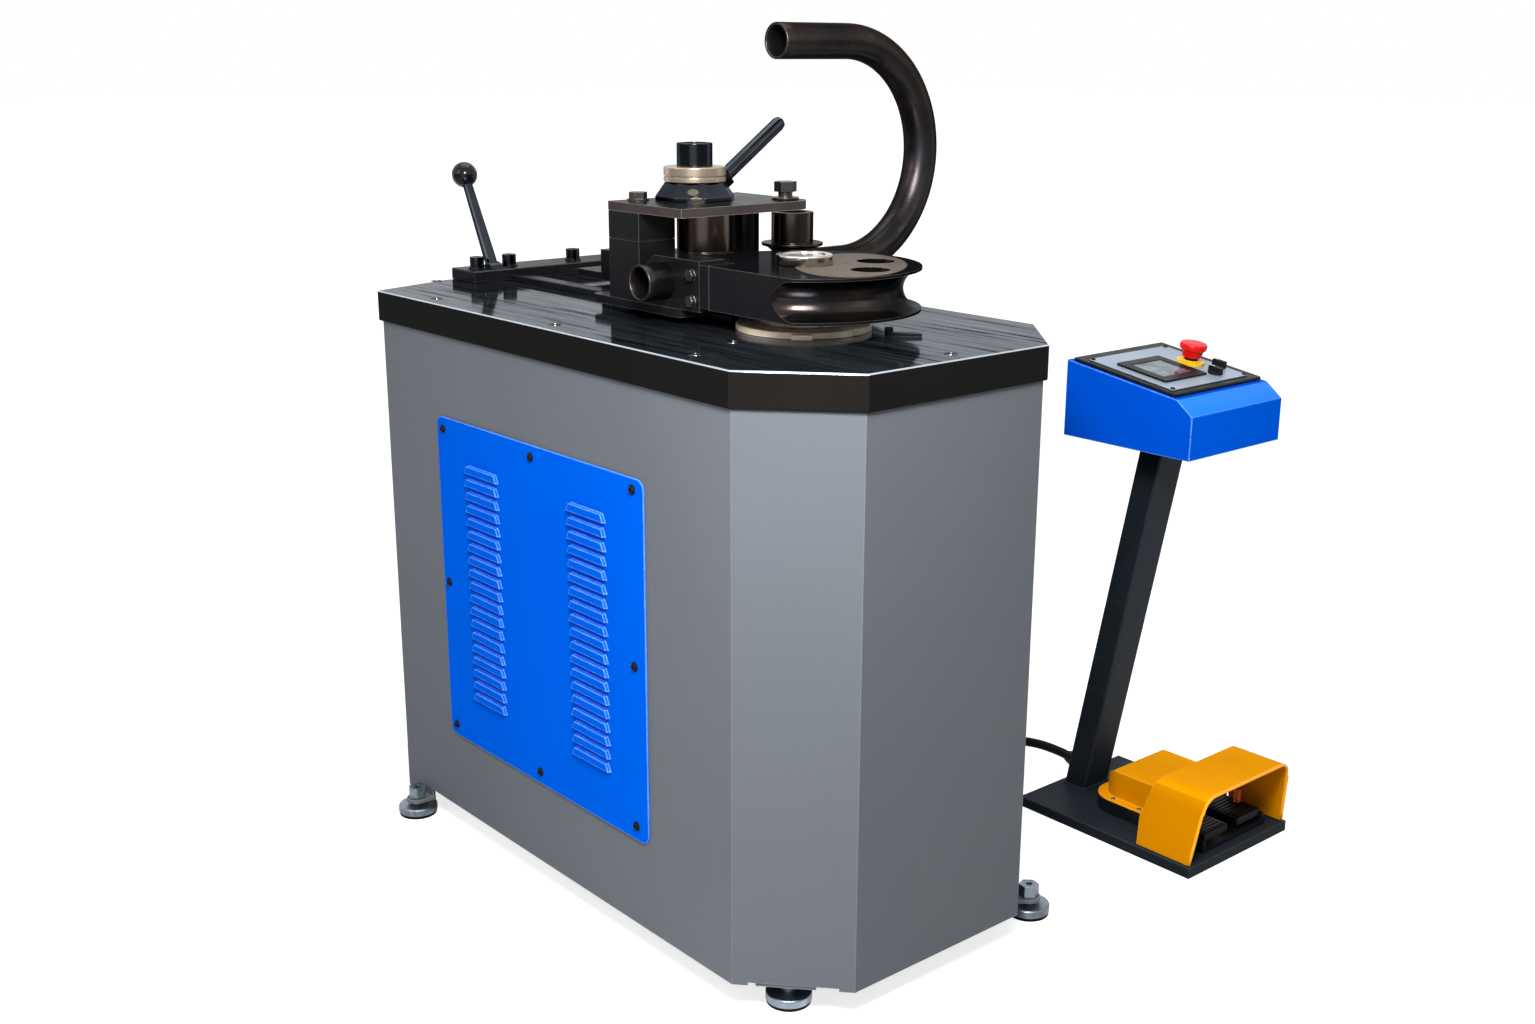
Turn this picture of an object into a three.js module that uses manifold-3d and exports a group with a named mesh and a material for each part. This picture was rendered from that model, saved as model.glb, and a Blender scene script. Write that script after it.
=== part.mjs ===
// Motorised tube bender: steel cabinet with a rotary bending former, a carriage with two
// counter rollers, a sample tube, and a separate control post with a foot switch.
// Millimetres, +Z up. The machine's front is the short side at y = 0, its left side is x = 0,
// and heights "over the table" are measured from the table's top face.

import * as THREE from 'three';
import { mergeVertices } from 'three/addons/utils/BufferGeometryUtils.js';
import Module from 'manifold-3d';

const wasm = await Module();
wasm.setup();

// Driving dimensions

const fit = { gap: 0.3, overrun: 6, weld: 0.0001 };
const facets = {
  large: 44, medium: 28, tube: 24, ball: 20, small: 18, bore: 14, tiny: 12, groove: 8, curve: 4,
};

const table = {
  width: 520, depth: 985, height: 820, thick: 45, edgeBevel: 1.6,
  frontChamferX: 107, frontChamferY: 117, rearChamferX: 137, rearChamferY: 42,
};

const cabinet = { inset: 5, wall: 3, clearance: 40, facetRelief: 4, facetTab: 22, ledge: 25 };

const louvrePanel = {
  width: 502, height: 492, thick: 2.5, corner: 14, rearEdge: 788, topDrop: 163, border: 26,
  louvres: 19, columns: 2, louvreLength: 84, louvrePitch: 19.1, louvreRise: 5, louvreHeight: 11,
  firstColumn: 121, columnStep: 257, firstLouvre: 71,
};

const foot = {
  padRadius: 29, padThick: 4.5, discRadius: 30, discThick: 11, neckRadius: 8, neckLength: 5.5,
  hexRadius: 14.4, hexHeight: 17.5, socketRadius: 5, socketDepth: 6, studRadius: 7, studLength: 30,
  discBevel: 1.5, rearMargin: 60,
};
const footReach = {
  leftAcross: 9.7, leftIn: 43.5, rightAcross: 5.5, rightOut: 20, rearOut: 12, rearPlate: 22,
};
const footOffsets = [
  { across: footReach.leftAcross, out: -footReach.leftIn, plate: footReach.leftAcross },
  { across: -footReach.rightAcross, out: footReach.rightOut, plate: -footReach.rightAcross },
  { across: 0, out: footReach.rearOut, plate: footReach.rearPlate },
  { across: 0, out: footReach.rearOut, plate: -footReach.rearPlate },
];
const bracket = { thick: 4.5, width: 76, rise: 70, tabRadius: 17, shelf: 78 };

const former = {
  axisX: 260, axisY: 282, centreOverTable: 55, lip: 0.8, flange: 4, grooveClear: 0.5,
  faceOffset: 110, holeRadius: 25, holeCircle: 99, holeAngles: [-75, -21], shaftBore: 30.3,
};
const tube = {
  outer: 48.3, wall: 3.6, bendRadius: 152, nearReach: 151, farReach: 208, tail: 127, bendSteps: 18,
};
const boss = { radius: 37, height: 12.5, rimBevel: 1.2, recessRadius: 27, recessDepth: 1.6 };

const hook = {
  depth: 42, frontY: 78, rearY: 196, bottom: 21.2, top: 87, chamferY: 22, chamferZ: 17,
  wedge: 19.7, boltY: 93, boltUpper: 68, boltLower: 34.5, headRadius: 8, headHeight: 6,
};

const lowerRing = { radius: 88, height: 8.4, bevel: 1 };
const upperRing = { radius: 57.5, bevel: 0.8 };
const angleStop = { x: 44, y: -112, length: 42, width: 9, height: 5, noseRadius: 5.5, turn: -48 };
const ringKey = { angle: -133, width: 26, depth: 9, height: 7 };

const shaft = { radius: 30, bottom: 560 };
const housing = { radius: 62, flangeRadius: 92, flange: 14, length: 120 };
const bullGear = { teeth: 48, module: 6, face: 45, hubRadius: 48, hubLength: 20, seatDrop: 18 };
const pinion = { teeth: 12, shaftRadius: 16, shaftDrop: 48 };
const toothShares = { rootDepth: 1.3, tipHeight: 0.95, rootHalf: 0.33, tipHalf: 0.12 };
const reducer = { width: 170, depth: 190, height: 150, corner: 14 };
const motor = { radius: 72, length: 215, coverRadius: 75, coverLength: 52, neck: 34, neckRadius: 44 };
const shelf = { thick: 6, frontY: 200, flange: 30 };

const rail = { width: 25, height: 9, leftX: 215, rightInset: 100, bevel: 1 };
const crossbar = { left: 150, rightInset: 12, depth: 69, height: 18, corner: 3, bevel: 1.2 };
const capScrew = {
  headRadius: 11, headHeight: 16, washerRadius: 13.5, washerThick: 2, socket: 5.5, socketDepth: 6,
  leverReach: 29, middleInset: 154, endInset: 26,
};
const ballLever = {
  x: 205, hubRadius: 13, hubWidth: 20, lean: 28, rodLength: 152, rodBottom: 9.5, rodTop: 7.5,
  ballRadius: 20, slotLength: 52, pinRadius: 5,
};
const ballSinkShare = 0.55;

const carriage = {
  left: 150, right: 470, front: 400, rear: 600, thick: 11.4, corner: 8,
  tongueLeft: 287, tongueRight: 373, tongueRoom: 77, blockDepth: 24, blockHeight: 35, blockInset: 64,
};
const yoke = {
  left: 150, right: 377, front: 396, rear: 558, thick: 12, topOver: 150, cornerRadius: 24,
  pillarWidth: 61, pillarFront: 489, seamOver: 101, columnX: 355, columnY: 517, columnRadius: 21,
};
const roller = {
  firstX: 256, secondX: 415, flangeRadius: 44, bore: 20.3, pinRadius: 20, lip: 3.5,
  firstSleeve: 38, secondSleeve: 30, secondSleeveTop: 126, collar: 5, headRoom: 1.2,
};
const rollerNipShare = 0.4;
const cam = {
  offset: 21, journal: 16, hubRadius: 56, hubTop: 42, skirt: 5, hubHeight: 24, sides: 8,
  ringRadius: 42.5, lowerRing: 6, ringGap: 2, upperRing: 12, bushRadius: 24.5, bushHeight: 31,
  bushRecess: 17, recessDepth: 7, leverRise: 35, leverRadius: 10, leverTip: 8.5, leverReach: 190,
  socketSize: 23, socketReach: 66, socketStart: 26, shaftTop: 44,
};
const plateBolt = { x: 185, y: 537, hexRadius: 12.5, height: 9, washerRadius: 15, washerThick: 2.5 };
const jackBolt = {
  x: 355, y: 429, hexRadius: 16, height: 14, neckRadius: 10, neck: 7, washerRadius: 19, washerThick: 3,
};

const pedestal = { x: 862, width: 250, front: -40, rear: 285, thick: 17, edge: 2 };
const post = { width: 60, depth: 40, front: 233, lean: 10.4, wall: 2.5, corner: 3 };
const consoleBox = {
  width: 219, front: 23, depth: 225, bottom: 614, frontTop: 677, slopeStart: 27, slopeLow: 698,
  slopeHigh: 728, wall: 2,
};
const bezel = { width: 212, length: 186, thick: 5, corner: 5 };
const face = { width: 181, length: 153, thick: 1.5, corner: 3, x: -4.5, y: -4.5 };
const screen = {
  width: 100, length: 90, thick: 3, corner: 3, x: -29, y: -10, glassInset: 16, glassDrop: 1,
};
const stop = {
  x: 47, y: -5, ringRadius: 20.5, ringThick: 4, collarRadius: 13, collar: 1.5, stemRadius: 10,
  headRadius: 20.3, headNeck: 13.6, headHeight: 22, dome: 3, travel: 4,
};
const stopShares = {
  waist: 0.8, waistHeight: 0.44, rim: 0.98, rimHeight: 0.58, rimDrop: 1.4, crown: 0.93, crownDrop: 0.4,
  top: 0.5,
};
const knob = { radius: 10.5, height: 10.5, grip: 8, places: [[38, -56], [74, -37]] };

const pedalBase = { x: 870, width: 154, front: -24, rear: 196, height: 20, corner: 42, wall: 5 };
const pedalCover = { front: 62, height: 48, lip: 4, shoulder: 26, corner: 36, inset: 13, slope: 36 };
const guard = {
  bottomWidth: 240, topWidth: 216, height: 107, wall: 3, bend: 22,
  footFront: -34, topFront: -47, topRear: 44, kneeY: 62, kneeHeight: 44, footRear: 60,
};
const pedal = { width: 58, thick: 7, gap: 26, front: -20, lift: 24, hingeRadius: 5, bossRadius: 9 };
const pedalShares = { cheekTop: 1.6, toeDrop: 1.2 };
const spring = { radius: 4.5, wire: 1.5, turns: 6, height: 20, x: 68, y: 14, steps: 8, sides: 5 };

const gland = {
  nutRadius: 13, nutLength: 12, baseRadius: 15, baseLength: 6, tipRadius: 9.6, tipLength: 16, bore: 7.9,
};
const cable = {
  radius: 7.5, sides: 8, steps: 16, wallY: 485, wallZ: 76, postX: 875, postZ: 35,
  route: [
    [524, 485, 76], [549, 485, 76], [576, 484, 76], [602, 481, 76], [628, 476, 76], [654, 469, 75],
    [679, 459, 74], [703, 448, 73], [726, 436, 71], [749, 422, 69], [772, 409, 67], [795, 396, 64],
    [818, 383, 60], [840, 369, 55], [859, 352, 50], [871, 331, 45], [875, 306, 41.6], [875, 279, 36.7],
  ],
};

// Colours

const paint = {
  cabinetGrey: [0x666b70, 0.55, 0.1], bandBlack: [0x17181a, 0.4, 0.6], brushedSteel: [0x4c545e, 0.3, 0.9],
  panelBlue: [0x0562e8, 0.4, 0.1], blackSteel: [0x1d2025, 0.35, 0.8], bronzeSteel: [0x8a7c6c, 0.28, 0.95],
  chrome: [0xcfd0d2, 0.12, 1], zinc: [0x8d99a3, 0.3, 0.9], rubber: [0x101112, 0.9, 0],
  millScale: [0x3a3330, 0.5, 0.7], postBlack: [0x23272d, 0.45, 0.3], amber: [0xf2a100, 0.4, 0.05],
  plasticBlack: [0x131416, 0.5, 0], stopRed: [0xd2161b, 0.35, 0], ringYellow: [0xf4c400, 0.4, 0],
  plateSilver: [0xb9bec4, 0.35, 0.8], glassDark: [0x1c2024, 0.08, 0], castIron: [0x50565c, 0.6, 0.6],
  motorBlue: [0x2d4f86, 0.5, 0.2], springOrange: [0xd9661f, 0.4, 0.3],
};

// Helpers for turning three.js geometry into clean closed solids

function cleanGeometry(geometry) {
  let source = geometry.index ? geometry.toNonIndexed() : geometry.clone();
  for (const name of Object.keys(source.attributes)) {
    if (name !== 'position') source.deleteAttribute(name);
  }
  source = mergeVertices(source, fit.weld);
  const corners = Array.from(source.index.array);
  const kept = [];
  for (let i = 0; i < corners.length; i += 3) {
    const [a, b, c] = corners.slice(i, i + 3);
    if (a !== b && b !== c && c !== a) kept.push(a, b, c);
  }
  source.setIndex(kept);
  return source;
}

function solid(geometry) {
  const clean = cleanGeometry(geometry);
  return new wasm.Manifold(new wasm.Mesh({
    numProp: 3,
    vertProperties: new Float32Array(clean.attributes.position.array),
    triVerts: new Uint32Array(clean.index.array),
  }));
}

function asGeometry(body) {
  const mesh = body.getMesh();
  const geometry = new THREE.BufferGeometry();
  geometry.setAttribute('position', new THREE.BufferAttribute(new Float32Array(mesh.vertProperties), 3));
  geometry.setIndex(Array.from(mesh.triVerts));
  geometry.computeVertexNormals();
  return geometry;
}

function join(first, ...others) {
  return others.reduce((body, other) => body.add(other), first);
}

function cut(first, ...others) {
  return others.reduce((body, other) => body.subtract(other), first);
}

function moved(geometry, x, y, z) {
  return geometry.translate(x, y, z);
}

// A body turned about +Z and set down at x, y
function placed(body, turn, x, y) {
  return solid(moved(asGeometry(body).rotateZ(turn), x, y, 0));
}

// A closed round bar that runs through a row of stations, each with its own across and up axes
function sweep(stations, radius, sides) {
  const positions = [];
  const corners = [];
  for (const { centre, across, up } of stations) {
    for (let side = 0; side < sides; side += 1) {
      const angle = (2 * Math.PI * side) / sides;
      const point = centre.clone()
        .addScaledVector(across, radius * Math.cos(angle))
        .addScaledVector(up, radius * Math.sin(angle));
      positions.push(point.x, point.y, point.z);
    }
  }
  for (let i = 0; i < stations.length - 1; i += 1) {
    for (let side = 0; side < sides; side += 1) {
      const a = i * sides + side;
      const b = i * sides + ((side + 1) % sides);
      corners.push(a, b, a + sides, b, b + sides, a + sides);
    }
  }
  const last = (stations.length - 1) * sides;
  for (let side = 1; side < sides - 1; side += 1) {
    corners.push(0, side + 1, side);
    corners.push(last, last + side, last + side + 1);
  }
  const geometry = new THREE.BufferGeometry();
  geometry.setAttribute('position', new THREE.Float32BufferAttribute(positions, 3));
  geometry.setIndex(corners);
  return geometry;
}

// A box between two corners
function block(x0, x1, y0, y1, z0, z1) {
  const geometry = new THREE.BoxGeometry(x1 - x0, y1 - y0, z1 - z0);
  return moved(geometry, (x0 + x1) / 2, (y0 + y1) / 2, (z0 + z1) / 2);
}

// A shape turned about +Z from [radius, height] points that start and end on the axis
function turned(profile, sides) {
  const points = profile.map(([r, z]) => new THREE.Vector2(r, z));
  return new THREE.LatheGeometry(points, sides).rotateX(Math.PI / 2);
}

function rod(radius, z0, z1, sides) {
  return turned([[0, z0], [radius, z0], [radius, z1], [0, z1]], sides);
}

// The same rod lying along +X or +Y
function rodX(radius, x0, x1, sides) {
  return rod(radius, x0, x1, sides).rotateY(Math.PI / 2);
}

function rodY(radius, y0, y1, sides) {
  return rod(radius, -y1, -y0, sides).rotateX(Math.PI / 2);
}

function outline(points) {
  return new THREE.Shape(points.map(([x, y]) => new THREE.Vector2(x, y)));
}

function slab(shape, z0, z1) {
  const geometry = new THREE.ExtrudeGeometry(shape, {
    depth: z1 - z0, bevelEnabled: false, curveSegments: facets.curve,
  });
  return moved(geometry, 0, 0, z0);
}

// A slab whose upper edge is bevelled
function bevelledSlab(shape, z0, z1, bevel) {
  const geometry = new THREE.ExtrudeGeometry(shape, {
    depth: z1 - z0 - 2 * bevel, bevelEnabled: true, bevelThickness: bevel, bevelSize: bevel,
    bevelOffset: -bevel, bevelSegments: 1, curveSegments: 4,
  });
  return moved(geometry, 0, 0, z0 + bevel);
}

function roundedRectangle(x0, x1, y0, y1, r) {
  const shape = new THREE.Shape();
  shape.moveTo(x0 + r, y0);
  shape.lineTo(x1 - r, y0);
  shape.absarc(x1 - r, y0 + r, r, -Math.PI / 2, 0);
  shape.lineTo(x1, y1 - r);
  shape.absarc(x1 - r, y1 - r, r, 0, Math.PI / 2);
  shape.lineTo(x0 + r, y1);
  shape.absarc(x0 + r, y1 - r, r, Math.PI / 2, Math.PI);
  shape.lineTo(x0, y0 + r);
  shape.absarc(x0 + r, y0 + r, r, Math.PI, 1.5 * Math.PI);
  return shape;
}

// A rectangle whose two rear corners are rounded
function rearRounded(x0, x1, y0, y1, r) {
  const shape = new THREE.Shape();
  shape.moveTo(x0, y0);
  shape.lineTo(x1, y0);
  shape.lineTo(x1, y1 - r);
  shape.absarc(x1 - r, y1 - r, r, 0, Math.PI / 2);
  shape.lineTo(x0 + r, y1);
  shape.absarc(x0 + r, y1 - r, r, Math.PI / 2, Math.PI);
  return shape;
}

function hexPrism(radius, z0, z1) {
  return rod(radius, z0, z1, 6);
}

// The scene: one named mesh for each piece

const group = new THREE.Group();
const machine = new THREE.Group();
group.add(machine);

function addPiece(name, body, finish, parent = machine, place = [0, 0, 0]) {
  const [color, roughness, metalness] = finish;
  const material = new THREE.MeshStandardMaterial({ color, roughness, metalness });
  const geometry = asGeometry(body instanceof THREE.BufferGeometry ? solid(body) : body);
  const mesh = new THREE.Mesh(geometry, material);
  mesh.name = name;
  mesh.position.set(...place);
  parent.add(mesh);
  return mesh;
}

function addGroup(parent, x, y, z) {
  const child = new THREE.Group();
  child.position.set(x, y, z);
  parent.add(child);
  return child;
}

// Heights and centres that several pieces share

const tableTop = table.height;
const cabinetTop = tableTop - table.thick - fit.gap;
const centreZ = tableTop + former.centreOverTable;
const tubeRadius = tube.outer / 2;
const formerHalf = tubeRadius + former.flange;
const formerRadius = tube.bendRadius - former.lip;
const tubeY = former.axisY + tube.bendRadius;

// The eight-sided plan of the table, drawn in by an inset
function tablePlan(inset) {
  const { width, depth, frontChamferX, frontChamferY, rearChamferX, rearChamferY } = table;
  const corners = [
    [frontChamferX, 0], [width - frontChamferX, 0], [width, frontChamferY],
    [width, depth - rearChamferY], [width - rearChamferX, depth], [rearChamferX, depth],
    [0, depth - rearChamferY], [0, frontChamferY],
  ];
  return corners.map((corner, i) => (
    insetCorner(corners.at(i - 1), corner, corners[(i + 1) % corners.length], inset)
  ));
}

// Moves a corner of a convex outline inwards, so that both of its edges move by the inset
function insetCorner(before, corner, after, inset) {
  const a = new THREE.Vector2(corner[0] - before[0], corner[1] - before[1]).normalize();
  const b = new THREE.Vector2(after[0] - corner[0], after[1] - corner[1]).normalize();
  const normalA = new THREE.Vector2(-a.y, a.x);
  const normalB = new THREE.Vector2(-b.y, b.x);
  const middle = normalA.clone().add(normalB);
  const reach = inset / (1 + normalA.dot(normalB));
  return [corner[0] + middle.x * reach, corner[1] + middle.y * reach];
}

// Table

const tableSolid = cut(
  solid(bevelledSlab(outline(tablePlan(0)), tableTop - table.thick, tableTop, table.edgeBevel)),
  solid(moved(
    rod(shaft.radius + fit.gap, tableTop - table.thick - fit.overrun, tableTop + fit.overrun, facets.medium),
    former.axisX, former.axisY, 0,
  )),
);
addPiece('table_plate', tableSolid, paint.brushedSteel);

// Cabinet shell: bent sheet with an inner ledge that carries the table, a window behind the
// louvre panel, and a shallow relief along the bottom of each front facet

const panelFront = louvrePanel.rearEdge - louvrePanel.width;
const panelTop = tableTop - louvrePanel.topDrop;
const panelBottom = panelTop - louvrePanel.height;

function facetFrame(side) {
  const x0 = side < 0 ? 0 : table.width - table.frontChamferX;
  const x1 = side < 0 ? table.frontChamferX : table.width;
  const y0 = side < 0 ? table.frontChamferY : 0;
  const y1 = side < 0 ? 0 : table.frontChamferY;
  return {
    x: (x0 + x1) / 2, y: (y0 + y1) / 2, turn: Math.atan2(y1 - y0, x1 - x0),
    length: Math.hypot(x1 - x0, y1 - y0),
  };
}

function reliefCut(side) {
  const frame = facetFrame(side);
  const half = frame.length / 2 - cabinet.facetTab;
  const tool = block(-half, half, -2 * fit.overrun, 2 * fit.overrun,
    cabinet.clearance - fit.overrun, cabinet.clearance + cabinet.facetRelief);
  return solid(moved(tool.rotateZ(frame.turn), frame.x, frame.y, 0));
}

const shellInner = cabinet.inset + cabinet.wall;
const sheetShell = cut(
  solid(slab(outline(tablePlan(cabinet.inset)), cabinet.clearance, cabinetTop)),
  solid(slab(outline(tablePlan(shellInner)), cabinet.clearance - fit.overrun, cabinetTop - cabinet.wall)),
  solid(slab(
    outline(tablePlan(shellInner + cabinet.ledge)), cabinetTop - fit.overrun, cabinetTop + fit.overrun,
  )),
  solid(block(
    -fit.overrun, shellInner + fit.overrun,
    panelFront + louvrePanel.border, louvrePanel.rearEdge - louvrePanel.border,
    panelBottom + louvrePanel.border, panelTop - louvrePanel.border,
  )),
  reliefCut(-1),
  reliefCut(1),
);

// Louvre panel on the left side, screwed over the window

function louvre(y, z) {
  const { louvreLength, louvreHeight, louvreRise } = louvrePanel;
  const taper = louvreHeight / 2;
  const profile = outline([
    [0, 0], [louvreLength, 0], [louvreLength - taper, louvreHeight], [taper, louvreHeight],
  ]);
  const wedge = slab(profile, 0, louvreRise + louvrePanel.thick / 2);
  const place = new THREE.Matrix4().makeBasis(
    new THREE.Vector3(0, -1, 0), new THREE.Vector3(0, 0, 1), new THREE.Vector3(-1, 0, 0),
  );
  return moved(wedge.applyMatrix4(place), -louvrePanel.thick / 2, y, z);
}

function louvrePanelSolid() {
  const plate = roundedRectangle(0, louvrePanel.width, 0, louvrePanel.height, louvrePanel.corner);
  const lay = new THREE.Matrix4().makeBasis(
    new THREE.Vector3(0, -1, 0), new THREE.Vector3(0, 0, 1), new THREE.Vector3(-1, 0, 0),
  );
  const sheet = slab(plate, 0, louvrePanel.thick).applyMatrix4(lay);
  let body = solid(moved(sheet, 0, louvrePanel.width, 0));
  for (let column = 0; column < louvrePanel.columns; column += 1) {
    const y = louvrePanel.width - louvrePanel.firstColumn + louvrePanel.louvreLength / 2
      - column * louvrePanel.columnStep;
    for (let row = 0; row < louvrePanel.louvres; row += 1) {
      const z = louvrePanel.height - louvrePanel.firstLouvre - row * louvrePanel.louvrePitch;
      body = body.add(solid(louvre(y, z)));
    }
  }
  return body;
}

addPiece('louvre_panel', louvrePanelSolid(), paint.panelBlue, machine,
  [cabinet.inset - fit.gap, panelFront, panelBottom]);

// Levelling feet and the brackets that carry them. A bracket's own frame has +Y pointing out
// of the cabinet wall, with the wall's outer face at y = 0.

const leftFacet = facetFrame(-1);
const rightFacet = facetFrame(1);
const rearWallY = table.depth - table.rearChamferY - foot.rearMargin;
const footPlaces = [
  { x: leftFacet.x, y: leftFacet.y, turn: leftFacet.turn + Math.PI },
  { x: rightFacet.x, y: rightFacet.y, turn: rightFacet.turn + Math.PI },
  { x: 0, y: rearWallY, turn: Math.PI / 2 },
  { x: table.width, y: rearWallY, turn: -Math.PI / 2 },
];
const discTop = foot.padThick + fit.gap + foot.discThick;
const tabBottom = discTop + foot.neckLength;

function footSolid(inside) {
  const hexBottom = inside ? tabBottom : tabBottom + bracket.thick + 2 * fit.gap;
  const hexTop = hexBottom + foot.hexHeight;
  const studTop = inside ? hexTop + foot.studLength : hexTop;
  const socketBottom = studTop - foot.socketDepth;
  const disc = turned([
    [0, foot.padThick + fit.gap], [foot.discRadius, foot.padThick + fit.gap],
    [foot.discRadius, discTop - foot.discBevel], [foot.discRadius - foot.discBevel, discTop], [0, discTop],
  ], facets.medium);
  return cut(
    join(
      solid(disc),
      solid(rod(foot.neckRadius, discTop - foot.discBevel, hexBottom + foot.discBevel, facets.small)),
      solid(hexPrism(foot.hexRadius, hexBottom, hexTop)),
      solid(rod(foot.studRadius, hexBottom, studTop, facets.tiny)),
    ),
    solid(hexPrism(foot.socketRadius, socketBottom, studTop + fit.overrun)),
  );
}

// The foot under the left facet screws into a shelf inside the cabinet
function innerBracket({ across, out, plate }) {
  const bottom = tabBottom + foot.hexHeight + fit.gap;
  const back = -(cabinet.inset + cabinet.wall / 2);
  const half = bracket.width / 2;
  return cut(
    join(
      solid(block(plate - half, plate + half, back - bracket.shelf, back, bottom, bottom + bracket.thick)),
      solid(block(plate - half, plate + half, back - bracket.thick, back, bottom, bottom + bracket.rise)),
    ),
    solid(moved(rod(foot.studRadius + fit.gap, bottom - fit.overrun, bottom + 2 * fit.overrun, facets.small),
      across, out, 0)),
  );
}

// The other feet stand outside, under a round tab that comes out below the wall
function outerBracket({ across, out, plate }) {
  const bottom = tabBottom + fit.gap;
  const back = -(cabinet.inset + cabinet.wall / 2);
  const half = bracket.width / 2;
  const tab = new THREE.Shape();
  tab.moveTo(across - bracket.tabRadius, back - bracket.thick);
  tab.lineTo(across + bracket.tabRadius, back - bracket.thick);
  tab.lineTo(across + bracket.tabRadius, out);
  tab.absarc(across, out, bracket.tabRadius, 0, Math.PI);
  return cut(
    join(
      solid(block(plate - half, plate + half, back - bracket.thick, back, bottom, bottom + bracket.rise)),
      solid(slab(tab, bottom, bottom + bracket.thick)),
    ),
    solid(moved(rod(foot.neckRadius + fit.gap, bottom - fit.overrun, bottom + 2 * fit.overrun, facets.small),
      across, out, 0)),
  );
}

const brackets = footPlaces.map(({ x, y, turn }, i) => {
  const mount = addGroup(machine, x, y, 0);
  mount.rotation.z = turn;
  const offset = footOffsets[i];
  const inside = offset.out < 0;
  const place = [offset.across, offset.out, 0];
  const number = i + 1;
  const pad = rod(foot.padRadius, 0, foot.padThick, facets.medium);
  addPiece(`foot_pad_${number}`, pad, paint.rubber, mount, place);
  addPiece(`levelling_foot_${number}`, footSolid(inside), paint.zinc, mount, place);
  return placed(inside ? innerBracket(offset) : outerBracket(offset), turn, x, y);
});

// Drive inside the cabinet: motor, reducer and pinion stand on a shelf, and the pinion turns
// the bull gear on the former's shaft

const housingBottom = cabinetTop - housing.length;
const gearTop = housingBottom - bullGear.seatDrop;
const gearBottom = gearTop - bullGear.face;
const pitchRadius = (bullGear.teeth * bullGear.module) / 2;
const pinionRadius = (pinion.teeth * bullGear.module) / 2;
const pinionY = former.axisY + pitchRadius + pinionRadius;

function gearOutline(teeth, module) {
  const pitch = (teeth * module) / 2;
  const { rootDepth, tipHeight, rootHalf, tipHalf } = toothShares;
  const rootRadius = pitch - rootDepth * module;
  const tipRadius = pitch + tipHeight * module;
  const stepAngle = (2 * Math.PI) / teeth;
  const shares = [
    [-rootHalf, rootRadius], [-tipHalf, tipRadius], [tipHalf, tipRadius], [rootHalf, rootRadius],
  ];
  const points = [];
  for (let tooth = 0; tooth < teeth; tooth += 1) {
    for (const [share, radius] of shares) {
      const angle = (tooth + share) * stepAngle;
      points.push([radius * Math.cos(angle), radius * Math.sin(angle)]);
    }
  }
  return outline(points);
}

const housingSolid = cut(
  join(
    solid(rod(housing.radius, housingBottom, cabinetTop, facets.small)),
    solid(rod(housing.flangeRadius, cabinetTop - housing.flange, cabinetTop, facets.small)),
  ),
  solid(rod(shaft.radius + fit.gap, housingBottom - fit.overrun, cabinetTop + fit.overrun, facets.medium)),
);
addPiece('bearing_housing', housingSolid, paint.castIron, machine, [former.axisX, former.axisY, 0]);

const formerGroup = addGroup(machine, former.axisX, former.axisY, 0);
const formerBottom = centreZ - formerHalf;
const formerTop = centreZ + formerHalf;
addPiece('main_shaft', rod(shaft.radius, shaft.bottom, formerTop, facets.medium), paint.zinc, formerGroup);

const gearBlank = solid(slab(gearOutline(bullGear.teeth, bullGear.module), gearBottom, gearTop));
const gearHub = solid(rod(bullGear.hubRadius, gearBottom - bullGear.hubLength, gearTop, facets.medium));
const gearBore = solid(rod(
  shaft.radius + fit.gap, gearBottom - bullGear.hubLength - fit.overrun, gearTop + fit.overrun, facets.medium,
));
addPiece('bull_gear', cut(join(gearBlank, gearHub), gearBore), paint.castIron, formerGroup);

const pinionGroup = addGroup(machine, former.axisX, pinionY, 0);
const pinionTurn = -Math.PI / 2 + Math.PI / pinion.teeth;
const pinionSolid = join(
  solid(slab(gearOutline(pinion.teeth, bullGear.module), gearBottom, gearTop).rotateZ(pinionTurn)),
  solid(rod(pinion.shaftRadius, gearBottom - pinion.shaftDrop, gearTop, facets.small)),
);
addPiece('drive_pinion', pinionSolid, paint.zinc, pinionGroup);

const reducerTop = gearBottom - pinion.shaftDrop / 2;
const reducerBottom = reducerTop - reducer.height;
const reducerFront = pinionY - reducer.depth / 2;
const reducerRear = pinionY + reducer.depth / 2;
const reducerSolid = cut(
  solid(slab(roundedRectangle(
    former.axisX - reducer.width / 2, former.axisX + reducer.width / 2,
    reducerFront, reducerRear, reducer.corner,
  ), reducerBottom, reducerTop)),
  solid(moved(rod(
    pinion.shaftRadius + fit.gap, gearBottom - pinion.shaftDrop - fit.gap,
    reducerTop + fit.overrun, facets.small,
  ), former.axisX, pinionY, 0)),
);
addPiece('gear_reducer', reducerSolid, paint.castIron);

const motorZ = reducerBottom + reducer.height / 2;
const motorFront = reducerRear + fit.gap;
const motorEnd = motor.neck + motor.length;
const motorSolid = join(
  solid(rodY(motor.neckRadius, 0, motor.neck + fit.overrun, facets.small)),
  solid(rodY(motor.radius, motor.neck, motorEnd + fit.overrun, facets.small)),
  solid(rodY(motor.coverRadius, motorEnd, motorEnd + motor.coverLength, facets.small)),
);
addPiece('drive_motor', motorSolid, paint.motorBlue, machine, [former.axisX, motorFront, motorZ]);

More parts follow.
